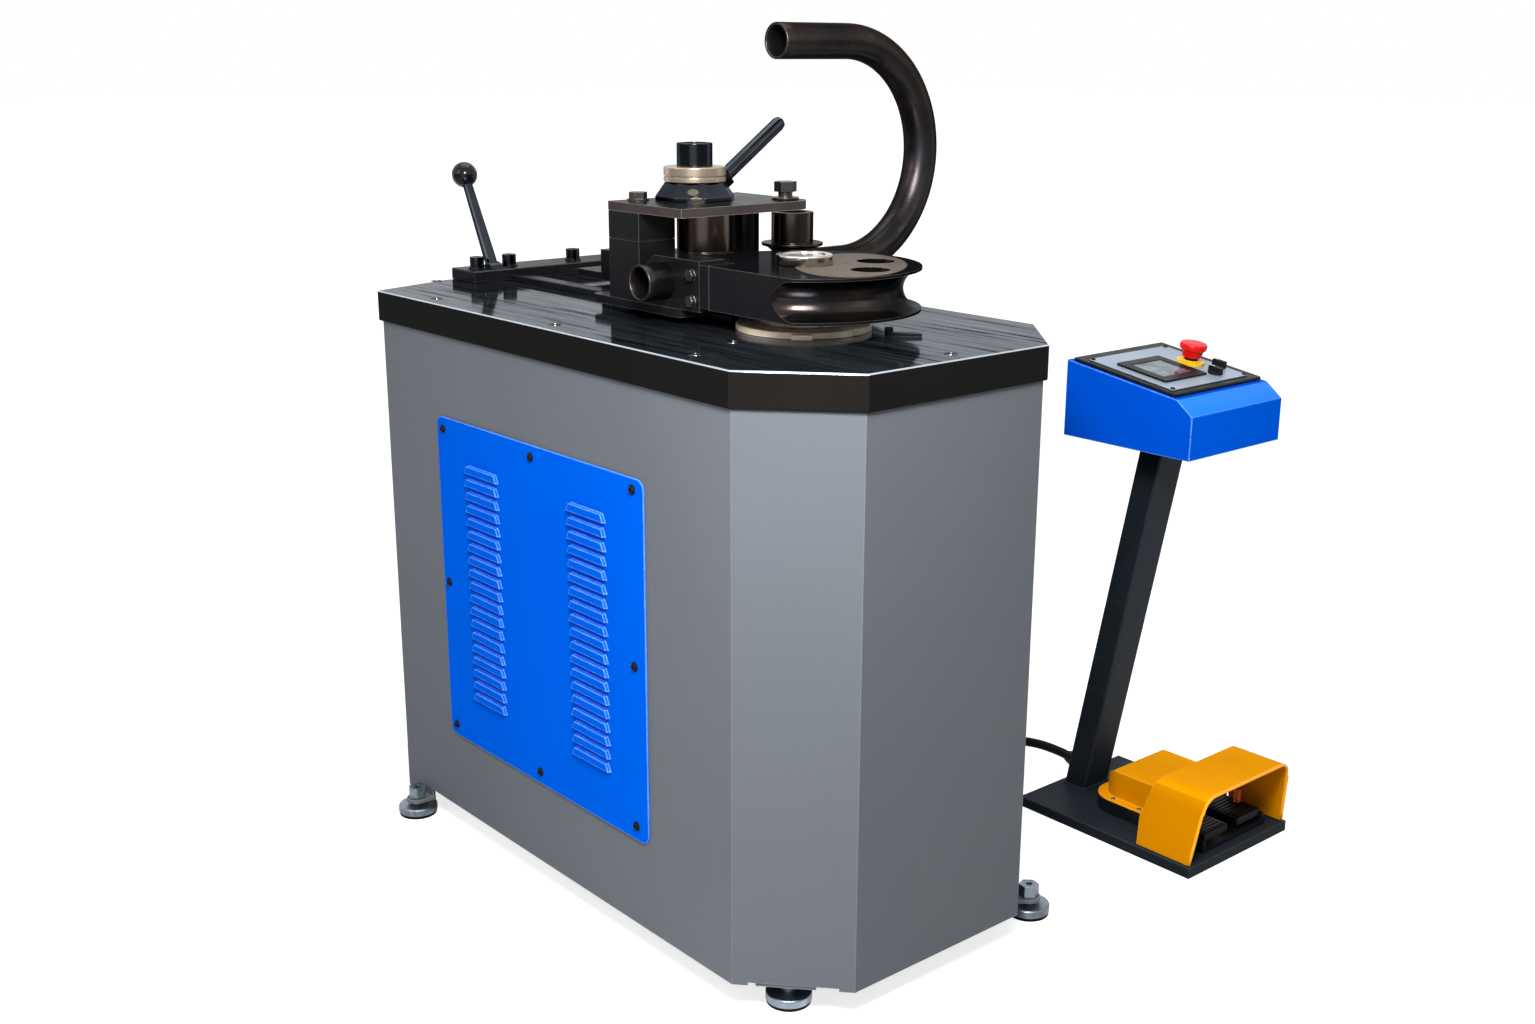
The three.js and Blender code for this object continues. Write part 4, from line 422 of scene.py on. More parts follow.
# finishes of single nodes that carry a mark: the worn part of the former, the bare spots on hub and plate
wornPart = dict(kind="Round", place=(301, 238, 903), across=(49, -52.6, 0), along=(92, 85.7, 0),
                color="857a6e", strength=0.85, soft=0.03, level=1.0)
roundSpot = dict(kind="Round", place=(223, 465, 983), across=(6.6, -5.6, 0), along=(0, 0, 4.6),
                 color="9c8f7e", strength=0.8, soft=0.3, level=0.0)
diamondSpot = dict(kind="Diamond", place=(225, 461, 970.5), across=(11, -9.4, 0), along=(2, 2.4, 8.2),
                   color="8f8579", strength=0.9, soft=0.06, level=0.0)
marked = {
    "bending_former": ("formerSteel", [wornPart]),
    "cam_hub": ("glossSteel", [roundSpot, diamondSpot]),
    "yoke_top_plate": ("blackSteel", [diamondSpot]),
}
for name, (finish, marks) in marked.items():
    materials[name] = makeFinish(name, finishes[finish], nodes[name], marks)


# a second colour laid over the first where a noise is strong
def overlay(tree, color, second, scale, low, high, amount, **noise):
    mask = remap(tree, noiseAt(tree, scale, **noise), low, high, 0.0, amount)
    return mixColor(tree, mask, color, shade(second))


# the table's ground top: lines along the table, smeared bands, darker stains
tableTop = {
    "bandNoise": dict(scale=5.0, detail=4.0, stretch=(5, 0.4, 1)),
    "lineNoise": dict(scale=60.0, detail=5.0, stretch=(1.7, 0.07, 1), roughness=0.7),
    "bands": ("666f7a", "8b95a2"), "bandRange": (0.3, 0.7), "tints": ("a9abae", "585c62"),
    "line": "b4bfcb", "lineRange": (0.52, 0.64, 0.0, 0.7),
    "streak": "2a3038", "streakRange": (0.46, 0.37, 0.0, 0.9),
    "stain": dict(second="2d343d", scale=6.0, low=0.52, high=0.7, amount=0.35, detail=5.0),
    "worn": dict(second="5f5a55", scale=3.0, low=0.48, high=0.62, amount=0.35, detail=4.0,
                 stretch=(1, 0.5, 1)),
    "metallic": 0.95, "rough": (0.05, 0.13), "bump": (0.1, 0.0003),
}


def makeTableTop():
    t = tableTop
    material, tree, shader = blankMaterial("tableTop")
    lines, bands = noiseAt(tree, **t["lineNoise"]), noiseAt(tree, **t["bandNoise"])
    color = mixColor(tree, remap(tree, bands, *t["bandRange"]), *map(shade, t["bands"]))
    color = mixColor(tree, remap(tree, lines, *t["lineRange"]), color, shade(t["line"]))
    streaks = remap(tree, lines, *t["streakRange"])
    color = mixColor(tree, streaks, color, shade(t["streak"]))
    color = overlay(tree, color, **t["stain"])
    color = overlay(tree, color, **t["worn"])
    feedAll(tree, shader, {
        "Base Color": color, "Metallic": t["metallic"],
        "Specular Tint": mixColor(tree, streaks, *map(shade, t["tints"])),
        "Roughness": remap(tree, bands, *t["bandRange"], *t["rough"]),
        "Normal": bumpFrom(tree, lines, *t["bump"])})
    return material


# mill scale on the sample tube: dark grey with brown and cool patches and rubbed streaks
millScale = {
    "patches": ("262526", "393230"), "patchNoise": dict(scale=10.0, detail=6.0), "patchRange": (0.36, 0.64),
    "cool": dict(second="323740", scale=7.0, low=0.5, high=0.7, amount=0.7, detail=4.0, stretch=(1, 2, 1)),
    "rubbed": dict(second="5d5249", scale=60.0, low=0.6, high=0.76, amount=0.3, detail=6.0),
    "wearAndHighlight": "b9b2aa", "edge": dict(Radius=0.0012, Sharpness=7.0), "metallic": 0.9, "gloss": 0.3,
    "tint": "8c8884", "rough": (0.22, 0.36), "peel": 320.0, "bump": (0.2, 0.0004),
}


def makeMillScale():
    m = millScale
    material, tree, shader = blankMaterial("millScale")
    patches = remap(tree, noiseAt(tree, **m["patchNoise"]), *m["patchRange"])
    color = mixColor(tree, patches, *map(shade, m["patches"]))
    color = overlay(tree, color, **m["cool"])
    color = overlay(tree, color, **m["rubbed"])
    # lighter rims and edges on the tube: cut steel and a painted highlight
    color = mixColor(tree, useEffect(tree, "edgeWearAndHighlight", **m["edge"])["Mask"], color, shade(m["wearAndHighlight"]))
    grain = useEffect(tree, "peel", Scale=m["peel"])["Height"]
    feedAll(tree, shader, {
        "Base Color": color, "Metallic": m["metallic"], "Specular IOR Level": m["gloss"],
        "Specular Tint": shade(m["tint"]), "Roughness": remap(tree, patches, 0.0, 1.0, *m["rough"]),
        "Normal": bumpFrom(tree, grain, *m["bump"])})
    return material


# dark glass with a faint, generic picture behind it
screenGlass = {
    "clouds": ("1f2a33", "5f7380"), "cloudNoise": dict(scale=55.0, detail=2.0), "cloudRange": (0.35, 0.65),
    "violet": dict(second="5a3f5c", scale=80.0, low=0.56, high=0.66, amount=0.7, detail=1.0),
    "rough": (0.05, 0.12), "glow": "20303a", "glowShare": 0.5, "glowStrength": 0.25,
}


def makeScreenGlass():
    g = screenGlass
    material, tree, shader = blankMaterial("screenGlass")
    cloud = remap(tree, noiseAt(tree, **g["cloudNoise"]), *g["cloudRange"])
    color = overlay(tree, mixColor(tree, cloud, *map(shade, g["clouds"])), **g["violet"])
    feedAll(tree, shader, {
        "Base Color": color, "Roughness": remap(tree, cloud, 0.0, 1.0, *g["rough"]),
        "Emission Color": mixColor(tree, g["glowShare"], color, shade(g["glow"])),
        "Emission Strength": g["glowStrength"]})
    return material


materials["tableTop"] = makeTableTop()
materials["millScale"] = makeMillScale()
materials["screenGlass"] = makeScreenGlass()
print("materials made:", len(materials))


# Cable between the cabinet and the post

cable = {
    "radius": 7.5, "length": 0.431, "roundSteps": 6, "routeSteps": 8,
    "route": [
        (524, 485, 76), (549, 485, 76), (576, 484, 76), (602, 481, 76), (628, 476, 76), (654, 469, 75),
        (679, 459, 74), (703, 448, 73), (726, 436, 71), (749, 422, 69), (772, 409, 67), (795, 396, 64),
        (818, 383, 60), (840, 369, 55), (859, 352, 50), (871, 331, 45), (875, 306, 41.6), (875, 279, 36.7),
    ],
}


def makeCable():
    curve = bpy.data.curves.new("control_lead", "CURVE")
    curve.dimensions = "3D"
    curve.bevel_depth, curve.bevel_resolution = cable["radius"] * mm, cable["roundSteps"]
    curve.resolution_u = cable["routeSteps"]
    curve.use_fill_caps = True
    spline = curve.splines.new("BEZIER")
    spline.bezier_points.add(len(cable["route"]) - 1)
    for point, place in zip(spline.bezier_points, cable["route"]):
        point.co = spot(*place)
        point.handle_left_type = point.handle_right_type = "AUTO"
    lead = putInScene("control_lead", curve)
    curve.materials.append(materials["rubber"])
    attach(lead, "machine")
    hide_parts("control_cable")


makeCable()
print("cable laid")


# Finishes of the CAD nodes, and a small bevel on their sharp edges

finishNodes = {
    "bandPaint": ["table_plate"], "cabinetPaint": ["cabinet_shell"], "bluePaint": ["louvre_panel"],
    "rubber": [f"foot_pad_{i}" for i in range(1, 5)],
    "zincSteel": [f"levelling_foot_{i}" for i in range(1, 5)] + ["main_shaft", "drive_pinion", "cam_shaft"],
    "castIron": ["bearing_housing", "bull_gear", "gear_reducer"], "motorPaint": ["drive_motor"],
    # the lower ring is painted lighter than the upper one: painted light in the former's shadow
    "ringSteelPaintedLight": ["lower_ring"], "warmSteel": ["upper_ring", "lock_ring"],
    "blackSteel": ["angle_stop", "hook_block", "clamp_wedge", "rear_crossbar", "left_guide_rail",
                   "right_guide_rail", "carriage_base", "yoke_pillar_lower", "yoke_pillar_upper",
                   "yoke_top_plate"],
    "formerSteel": ["bending_former"], "chrome": ["former_cap"],
    "glossSteel": ["ball_lever", "cam_hub", "shaft_bush"], "ballPlastic": ["lever_ball"],
    "sleeveSteel": ["counter_roller_1", "counter_roller_2"], "boltSteel": ["jack_bolt"],
    "postPaint": ["floor_plate", "control_post"], "consoleBlue": ["console_box"],
    "blackPlastic": ["panel_bezel", "touch_screen", "selector_knob_1", "selector_knob_2", "switch_base",
                     "pedal_left", "pedal_right", "cabinet_gland", "post_gland"],
    "plateSilver": ["face_plate"], "yellowPlastic": ["stop_ring"], "redPlastic": ["stop_button"],
    "amberPaint": ["switch_cover", "pedal_guard"],
}
nodeBevel = {
    "table_plate": 0.5, "cabinet_shell": 1.2, "louvre_panel": 0.7, "bearing_housing": 1, "gear_reducer": 2,
    "drive_motor": 1.5, "console_box": 0.9, "control_post": 0.8, "floor_plate": 0.8, "switch_cover": 4.5,
    "pedal_guard": 1.1, "switch_base": 1, "bending_former": 0.9, "hook_block": 0.8, "clamp_wedge": 0.8,
    "yoke_pillar_lower": 0.8, "yoke_pillar_upper": 0.8, "yoke_top_plate": 1, "carriage_base": 0.8,
    "lever_ball": 0.3, "stop_button": 0.3, "panel_bezel": 2.2, "face_plate": 0.4, "touch_screen": 0.7,
    "selector_knob_1": 1, "selector_knob_2": 1, "cam_hub": 1.2, "bull_gear": 0.8, "foot_pad_1": 0.8,
}
edgeLook = {"bevel": 0.6, "segments": 2, "sharp": math.radians(34), "flat": math.radians(0.5),
            "join": 0.00001, "weight": 50, "nodeWeight": 60}


def addBevel(piece, width, weight=edgeLook["weight"]):
    bevel = piece.modifiers.new("bevel", "BEVEL")
    bevel.width, bevel.segments, bevel.limit_method = width * mm, edgeLook["segments"], "ANGLE"
    bevel.angle_limit = edgeLook["sharp"]
    normals = piece.modifiers.new("normals", "WEIGHTED_NORMAL")
    normals.keep_sharp, normals.weight = False, weight


# a node's triangles joined into flat faces, then its sharp edges rounded
def softenEdges(piece, width):
    piece.data.shade_smooth()
    piece.modifiers.new("join", "WELD").merge_threshold = edgeLook["join"]
    flat = piece.modifiers.new("flat", "DECIMATE")
    flat.decimate_type, flat.angle_limit = "DISSOLVE", edgeLook["flat"]
    addBevel(piece, width, edgeLook["nodeWeight"])


def dressNode(name, finish):
    piece = nodes[name]
    piece.data.materials.clear()
    piece.data.materials.append(materials[finish])
    if piece.data.has_custom_normals:
        bpy.context.view_layer.objects.active = piece
        with bpy.context.temp_override(object=piece, active_object=piece, selected_editable_objects=[piece]):
            bpy.ops.mesh.customdata_custom_splitnormals_clear()
    softenEdges(piece, nodeBevel.get(name, edgeLook["bevel"]))


# least share of a face's normal along an axis, for the table's top and its bevelled edge
topShare, edgeShare = 0.98, 0.5


# the plate's top face is ground steel, the rest is painted
def dressTable():
    plate = nodes["table_plate"]
    plate.data.materials.append(materials["tableTop"])
    plate.data.materials.append(materials["edgeSteel"])
    for face in plate.data.polygons:
        if face.normal.z > topShare:
            face.material_index = 1
        elif face.normal.z > edgeShare:
            face.material_index = 2


# faces of a node that get another finish, chosen by their place on the machine and their normal
def paintFaces(name, finish, test):
    piece = nodes[name]
    piece.data.materials.append(materials[finish])
    last = len(piece.data.materials) - 1
    for face in piece.data.polygons:
        if test(*machineAt(piece.matrix_world @ face.center), piece.matrix_world.to_3x3() @ face.normal):
            face.material_index = last


# where the faces lie, in machine mm: bolts of the hook and the yoke, tops of bar and plate, the groove; and
# the shares of a face's normal that tell flat, upright and corner faces
facePlaces = {
    "flatShare": 0.99, "uprightShare": 0.1, "cornerShare": 0.3,
    "hookFace": 149.5, "hookBoltY": 375, "hookBoltHalf": 12,
    "yokeTop": 970.4, "yokeBolt": (185, 537), "yokeBoltRadius": 16, "crossbarTop": 838.3,
    "axis": (260, 282), "grooveRadius": 150.6, "grooveBottom": 849, "grooveTop": 901, "grooveStraight": 425,
}


# faces that differ only by their side, with lighter or darker finishes that are painted light and painted
# shade (the former's flat left face lighter): least share of the normal along an axis, minus for the other
# way
litAndShadedSides = [
    ("bending_former", "blackSteel", {"x": -0.99}), ("cabinet_shell", "cabinetPaintedShade", {"y": -0.98}),
    ("control_post", "postPaintedShade", {"x": -0.9}), ("floor_plate", "postPaintedShade", {"x": -0.9}),
    ("console_box", "consolePaintedSheen", {"y": -0.2, "z": 0.2}), ("console_box", "consoleFrontPaintedLight", {"y": -0.98}),
    ("pedal_guard", "amberPaintedShade", {"x": -0.6}), ("switch_cover", "amberPaintedShade", {"x": -0.6}),
]


def looksAlong(normal, shares):
    return all(math.copysign(1, share) * getattr(normal, axis) > abs(share) for axis, share in shares.items())


def nearPoint(x, y, centre, radius):
    return math.hypot(x - centre[0], y - centre[1]) < radius


def inGroove(x, y, z, normal):
    p = facePlaces
    if not p["grooveBottom"] < z < p["grooveTop"] or normal.x <= -p["flatShare"]:
        return False
    return nearPoint(x, y, p["axis"], p["grooveRadius"]) or y > p["grooveStraight"]


for finish, names in finishNodes.items():
    for name in names:
        dressNode(name, finish)
dressTable()
paintFaces("hook_block", "boltSteel", lambda x, y, z, normal: x < facePlaces["hookFace"]
           and abs(y - facePlaces["hookBoltY"]) < facePlaces["hookBoltHalf"])
paintFaces("yoke_top_plate", "boltSteel", lambda x, y, z, normal: z > facePlaces["yokeTop"]
           and nearPoint(x, y, facePlaces["yokeBolt"], facePlaces["yokeBoltRadius"]))
paintFaces("rear_crossbar", "glossSteel", lambda x, y, z, normal: z > facePlaces["crossbarTop"])
for name in marked:
    nodes[name].data.materials[0] = materials[name]
paintFaces("bending_former", "grooveSteel", inGroove)
for name, finish, shares in litAndShadedSides:
    paintFaces(name, finish, lambda x, y, z, normal: looksAlong(normal, shares))
# painted light: the yoke plate's upright faces take a lighter copy of the black steel
paintFaces("yoke_top_plate", "sideSteelPaintedLight", lambda x, y, z, normal: z < facePlaces["yokeTop"]
           and abs(normal.z) < facePlaces["uprightShare"])
# painted light: the table's corner facets take a lighter copy of the band paint
paintFaces("table_plate", "facetPaintedLight", lambda x, y, z, normal: normal.z < facePlaces["cornerShare"]
           and max(normal.x, normal.y) < -facePlaces["cornerShare"])
print("CAD nodes dressed:", sum(len(names) for names in finishNodes.values()))


# Helpers for new pieces

def meshFrom(name, points, faces):
    mesh = bpy.data.meshes.new(name)
    mesh.from_pydata([tuple(p) for p in points], [], faces)
    mesh.update()
    bm = bmesh.new()
    bm.from_mesh(mesh)
    bmesh.ops.remove_doubles(bm, verts=bm.verts, dist=1e-7)
    bmesh.ops.recalc_face_normals(bm, faces=bm.faces)
    bm.to_mesh(mesh)
    bm.free()
    return mesh


# a piece of points and faces; one without a body is left unattached
def newPiece(name, shape, finish, body):
    piece = putInScene(name, meshFrom(name, *shape))
    piece.data.materials.append(materials[finish])
    piece.data.shade_smooth()
    if body:
        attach(piece, body)
    return piece


# rings of points joined into one closed skin; the last ring joins the first one
def skinRings(rings):
    points, faces = [], []
    sides = len(rings[0])
    for ring in rings:
        points.extend(ring)
    for i in range(len(rings)):
        nextRow = (i + 1) % len(rings)
        for j in range(sides):
            k = (j + 1) % sides
            faces.append((i * sides + j, i * sides + k, nextRow * sides + k, nextRow * sides + j))
    return points, faces


# points and faces of a turned shape from (radius, height) points in mm, stood on a place and axis
def turned(profile, place, axis, sides=32):
    turn = axis.to_track_quat("Z", "Y").to_matrix()
    points, faces, rows = [], [], []
    for radius, height in profile:
        count = sides if radius > 1e-6 else 1
        rows.append([len(points) + j for j in range(count)])
        for j in range(count):
            a = 2 * math.pi * j / sides
            points.append(place + turn @ (Vector((radius * math.cos(a), radius * math.sin(a), height)) * mm))
    for low, high in zip(rows, rows[1:]):
        for j in range(sides):
            k = (j + 1) % sides
            if len(low) == 1:
                faces.append((low[0], high[j], high[k]))
            elif len(high) == 1:
                faces.append((low[j], low[k], high[0]))
            else:
                faces.append((low[j], low[k], high[k], high[j]))
    return points, faces


# several (points, faces) shapes as one
def together(shapes):
    points, faces = [], []
    for shapePoints, shapeFaces in shapes:
        faces += [tuple(i + len(points) for i in face) for face in shapeFaces]
        points += shapePoints
    return points, faces


# a closed skin over rings of points, with flat ends
def skinOpen(rings):
    points, faces = skinRings(rings)
    sides = len(rings[0])
    faces = faces[:-sides]
    faces += [tuple(range(sides)), tuple(range(len(points) - sides, len(points)))]
    return points, faces


# one round ring of points, square to two directions
def roundRing(centre, across, up, radius, sides=10):
    return [centre + (across * math.cos(a) + up * math.sin(a)) * radius * mm
            for a in (2 * math.pi * j / sides for j in range(sides))]


# Sample tube, bent round the former as that turns

sample = {
    "startX": 109, "bendX": 468, "y": 434, "z": 875, "outer": 24.15, "wall": 3.6, "radius": 152, "tail": 127,
    "blendStart": 225, "blendEnd": 262, "sides": 40, "rim": 0.5,
    "startRings": 10, "blendRings": 84, "straightRings": 16, "bendRings": 56, "tailRings": 8,
}


def tubeStations():
    s = sample
    marks = []
    for start, end, count in ((s["startX"], s["blendStart"], s["startRings"]),
                              (s["blendStart"], s["blendEnd"], s["blendRings"]),
                              (s["blendEnd"], s["bendX"], s["straightRings"])):
        marks += [start + i * (end - start) / count for i in range(count)]
    stations = [(spot(x, s["y"], s["z"]), Vector((0, 0, 1))) for x in marks]
    centre = spot(s["bendX"], s["y"], s["z"] + s["radius"])
    for i in range(s["bendRings"] + 1):
        a = math.pi * i / s["bendRings"]
        outward = Vector((math.sin(a), 0, -math.cos(a)))
        stations.append((centre + outward * s["radius"] * mm, -outward))
    for i in range(1, s["tailRings"] + 1):
        x = s["bendX"] - s["tail"] * i / s["tailRings"]
        stations.append((spot(x, s["y"], s["z"] + 2 * s["radius"]), Vector((0, 0, -1))))
    return stations


# one closed skin: along the outside, over the far rim, back along the bore and over the near rim
def makeTube():
    s = sample
    outer, inner, rim = s["outer"], s["outer"] - s["wall"], s["rim"]
    first, *middle, last = tubeStations()
    route = [(first, rim, outer)] + [(station, 0, outer) for station in middle]
    route += [(last, rim, outer), (last, 0, outer - rim), (last, 0, inner + rim), (last, rim, inner)]
    route += [(station, 0, inner) for station in reversed(middle)]
    route += [(first, rim, inner), (first, 0, inner + rim), (first, 0, outer - rim)]
    rings = [roundRing(centre + Vector((shift * mm, 0, 0)), Vector((0, 1, 0)), up, radius, s["sides"])
             for (centre, up), shift, radius in route]
    piece = newPiece("bent_tube", skinRings(rings), "millScale", None)
    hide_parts("sample_tube")
    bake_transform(piece)


makeTube()
print("tube bent")


# Coil spring on the right pedal

coil = {"x": 930, "y": 14, "bottom": 45.3, "radius": 4.5, "wire": 0.75, "turns": 6, "height": 20, "steps": 20}


def makeSpring():
    rings, count = [], coil["turns"] * coil["steps"]
    for i in range(count + 1):
        a = 2 * math.pi * i / coil["steps"]
        out = Vector((math.cos(a), math.sin(a), 0))
        rise = coil["wire"] + (coil["height"] - 2 * coil["wire"]) * i / count
        centre = spot(coil["x"], coil["y"], coil["bottom"] + rise) + out * coil["radius"] * mm
        rings.append(roundRing(centre, out, Vector((0, 0, 1)), coil["wire"]))
    piece = newPiece("pedal_coil", skinOpen(rings), "springSteel", "right_pedal")
    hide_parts("pedal_spring")


makeSpring()
print("spring wound")


# Screws: on the louvred panel, in the table top, on the control panel and on the switch cover

controlPanel = {"x": 862, "y": 149, "z": 713, "tilt": math.radians(8.62)}


# a point of the tilted control panel: u right, v up the slope, w off it
def panelSpot(u, v, w):
    c = controlPanel
    cos, sin = math.cos(c["tilt"]), math.sin(c["tilt"])
    return spot(c["x"] + u, c["y"] + v * cos - w * sin, c["z"] + v * sin + w * cos)


panelUp = (panelSpot(0, 0, 1) - panelSpot(0, 0, 0)).normalized()
buttonHead = [(0, 0), (6.6, 0), (6.8, 0.4), (6.6, 1.0), (5.1, 1.1), (5.0, 1.9), (4.5, 2.9), (3.4, 3.6),
              (2.4, 3.8), (2.3, 3.7), (2.2, 2.4), (0, 2.2)]
flushHead = [(0, 0), (8.6, 0), (8.4, 0.5), (6.2, 0.7), (5.8, 0.3), (5.2, 0.35), (4.6, 1.0), (3.4, 1.1),
             (3.2, 0.5), (0, 0.45)]
smallHead = [(0, 0), (3.7, 0), (3.8, 0.4), (3.4, 1.2), (2.4, 1.6), (1.7, 1.7), (1.6, 1.0), (0, 0.9)]
# where the screws sit, in mm: x of the louvred face, heights of table and cover, and how far off the panel
screwSeat = {"louvre": 2.1, "table": 820.05, "cover": 41.65, "panel": 7.15}
screwSets = [
    {"name": "louvre_panel_screws", "finish": "blackPlastic", "slot": "black_plastic", "profile": buttonHead,
     "axis": Vector((-1, 0, 0)),
     "places": [spot(screwSeat["louvre"], y, z) for y, z in (
         (771, 639), (540, 640), (309, 642), (773, 407), (310, 408), (771, 182), (541, 183), (312, 185))]},
    {"name": "table_screws", "finish": "glossSteel", "slot": "blackened_steel", "profile": flushHead,
     "axis": Vector((0, 0, 1)),
     "places": [spot(x, y, screwSeat["table"]) for x, y in (
         (26, 814), (28, 510), (33, 219), (122, 257), (272, 32), (120, 979))]},
    {"name": "control_panel_screws", "finish": "blackPlastic", "slot": "black_plastic", "profile": smallHead,
     "axis": panelUp,
     "places": [panelSpot(u, v, screwSeat["panel"]) for u, v in (
         (-91, 68), (-91, -77), (82, 68), (82, -77))]},
    {"name": "switch_cover_screws", "finish": "zincSteel", "slot": "zinc_steel", "profile": smallHead,
     "axis": Vector((0, 0, 1)),
     "places": [spot(x, y, screwSeat["cover"]) for x, y in (
         (799.5, 100), (799.5, 150), (940.5, 100), (940.5, 150))]},
]


def makeScrews():
    for group in screwSets:
        shapes = [turned(group["profile"], place, group["axis"]) for place in group["places"]]
        piece = newPiece(group["name"], together(shapes), group["finish"], "machine")
        piece.data.set_sharp_from_angle(angle=edgeLook["sharp"])


makeScrews()
print("screws set:", sum(len(group["places"]) for group in screwSets))


# Control panel: the picture behind the glass and the marks on the knobs

def boxShape(corner, u, v, w):
    points = [corner + u * i + v * j + w * k for k in (0, 1) for j in (0, 1) for i in (0, 1)]
    faces = [(0, 1, 3, 2), (4, 6, 7, 5), (0, 4, 5, 1), (1, 5, 7, 3), (3, 7, 6, 2), (2, 6, 4, 0)]
    return points, faces


panelRight = (panelSpot(1, 0, 0) - panelSpot(0, 0, 0)).normalized()
panelAhead = (panelSpot(0, 1, 0) - panelSpot(0, 0, 0)).normalized()


glass = {"corner": (-62.6, -38.6, 8.7), "size": (67.2, 57.2, 0.9), "bevel": 0.3}
knobMark = {"width": 1.4, "length": 7.5, "thick": 0.35, "start": 2.5, "height": 18.0, "bevel": 0.12,
            "knobs": (("first_selector", 38, -56), ("second_selector", 74, -37))}
stopStemTop = 17


# a box on the panel, from its lowest corner and three sizes in mm
def panelBox(corner, size):
    return boxShape(panelSpot(*corner), *(way * length * mm for way, length in
                                          zip((panelRight, panelAhead, panelUp), size)))


def makePanelParts():
    pane = panelBox(glass["corner"], glass["size"])
    addBevel(newPiece("screen_glass", pane, "screenGlass", "machine"), glass["bevel"])
    base = panelSpot(0, 0, 0)
    paintFaces("stop_button", "blackPlastic",
               lambda x, y, z, normal: (spot(x, y, z) - base).dot(panelUp) < stopStemTop * mm)
    m = knobMark
    for number, (body, u, v) in enumerate(m["knobs"], 1):
        corner = (u - m["width"] / 2, v + m["start"], m["height"])
        bar = panelBox(corner, (m["width"], m["length"], m["thick"]))
        addBevel(newPiece(f"selector_mark_{number}", bar, "markInk", body), m["bevel"])


makePanelParts()
print("control panel finished")


# Foot switch: ribbed treads on the pedals, the rolled edge of the guard

tread = {
    "pedal": 58, "top": 44.9, "front": -18, "rear": 38, "inset": 4, "lift": 0.05, "thick": 1.2, "bevel": 0.5,
    "ribs": 8, "rib": 3.2, "height": 1.4, "sideMargin": 2, "endMargin": 2.5, "ribBevel": 0.8,
    "sides": (("left_tread", "left_pedal", 799), ("right_tread", "right_pedal", 883)),
}


# a box along the machine's axes, from its lowest corner and three sizes in mm
def machineBox(corner, size):
    wide, deep, high = (length * mm for length in size)
    return boxShape(spot(*corner), Vector((wide, 0, 0)), Vector((0, deep, 0)), Vector((0, 0, high)))


def makeTreads():
    t = tread
    wide, deep = t["pedal"] - 2 * t["inset"], t["rear"] - t["front"]
    step = (deep - 2 * t["endMargin"] - t["rib"]) / (t["ribs"] - 1)
    for name, body, left in t["sides"]:
        x = left + t["inset"]
        pad = machineBox((x, t["front"], t["top"] + t["lift"]), (wide, deep, t["thick"]))
        addBevel(newPiece(name, pad, "treadRubber", body), t["bevel"])
        size = (wide - 2 * t["sideMargin"], t["rib"], t["height"])
        bars = [machineBox((x + t["sideMargin"], t["front"] + t["endMargin"] + i * step,
                            t["top"] + t["thick"]), size) for i in range(t["ribs"])]
        ribs = newPiece(f"{name}_ribs", together(bars), "treadRubber", body)
        addBevel(ribs, t["ribBevel"])


guardEdge = {"x": 862, "z": 17.3, "halfBottom": 120, "halfTop": 108, "height": 107, "bend": 22, "wall": 3,
             "footFront": -34, "topFront": -47, "bead": 2.3, "steps": 8, "sides": 12, "foot": 0.8,
             "stops": (20, 50, 80)}


def makeGuardRim():
    g = guardEdge
    half = g["wall"] / 2
    bend, top = g["bend"], g["height"] - half
    lean = (g["halfTop"] - g["halfBottom"]) / g["height"]

    def frontAt(height):
        return g["footFront"] + (g["topFront"] - g["footFront"]) * height / g["height"]

    right = [(g["halfBottom"] - half, g["foot"])]
    right += [(g["halfBottom"] + lean * z - half, z) for z in g["stops"]]
    for i in range(g["steps"] + 1):
        a = math.pi / 2 * i / g["steps"]
        right.append((g["halfTop"] - half - bend + bend * math.cos(a), top - bend + bend * math.sin(a)))
    path = [(-x, z) for x, z in right] + right[::-1]
    points = [spot(g["x"] + x, frontAt(z), g["z"] + z) for x, z in path]
    rings = []
    for i, point in enumerate(points):
        ahead = (points[min(i + 1, len(points) - 1)] - points[max(i - 1, 0)]).normalized()
        across = ahead.cross(Vector((0, 1, 0))).normalized()
        rings.append(roundRing(point, across, across.cross(ahead), g["bead"], g["sides"]))
    # the rolled edge is a lighter amber: a painted highlight
    newPiece("guard_rim", skinOpen(rings), "amberRimPaintedHighlight", "machine")


makeTreads()
makeGuardRim()
print("foot switch finished")


# Weld bead round the foot of the post

weld = {"left": 832, "right": 892, "front": 233, "rear": 273, "z": 17.4, "radius": 2.4, "step": 3.0,
        "least": 0.86, "spread": 0.28, "ripple": 0.1, "seed": 7}


def makeWeld():
    w = weld
    rng = random.Random(w["seed"])
    corners = [(w["left"], w["front"]), (w["right"], w["front"]),
               (w["right"], w["rear"]), (w["left"], w["rear"])]
    rings = []
    for (x0, y0), (x1, y1) in zip(corners, corners[1:] + corners[:1]):
        length = math.hypot(x1 - x0, y1 - y0)
        count = int(length / w["step"])
        for i in range(count):
            t = i / count
            ahead = Vector((x1 - x0, y1 - y0, 0)).normalized()
            out = Vector((ahead.y, -ahead.x, 0))
            ripple = w["ripple"] if i % 2 else -w["ripple"]
            size = w["radius"] * (w["least"] + w["spread"] * rng.random() + ripple)
            centre = spot(x0 + (x1 - x0) * t, y0 + (y1 - y0) * t, w["z"])
            if i == 0:
                out = (out - ahead).normalized()
            rings.append(roundRing(centre, out, Vector((0, 0, 1)), size))
    newPiece("post_weld", skinRings(rings), "postPaint", "machine")


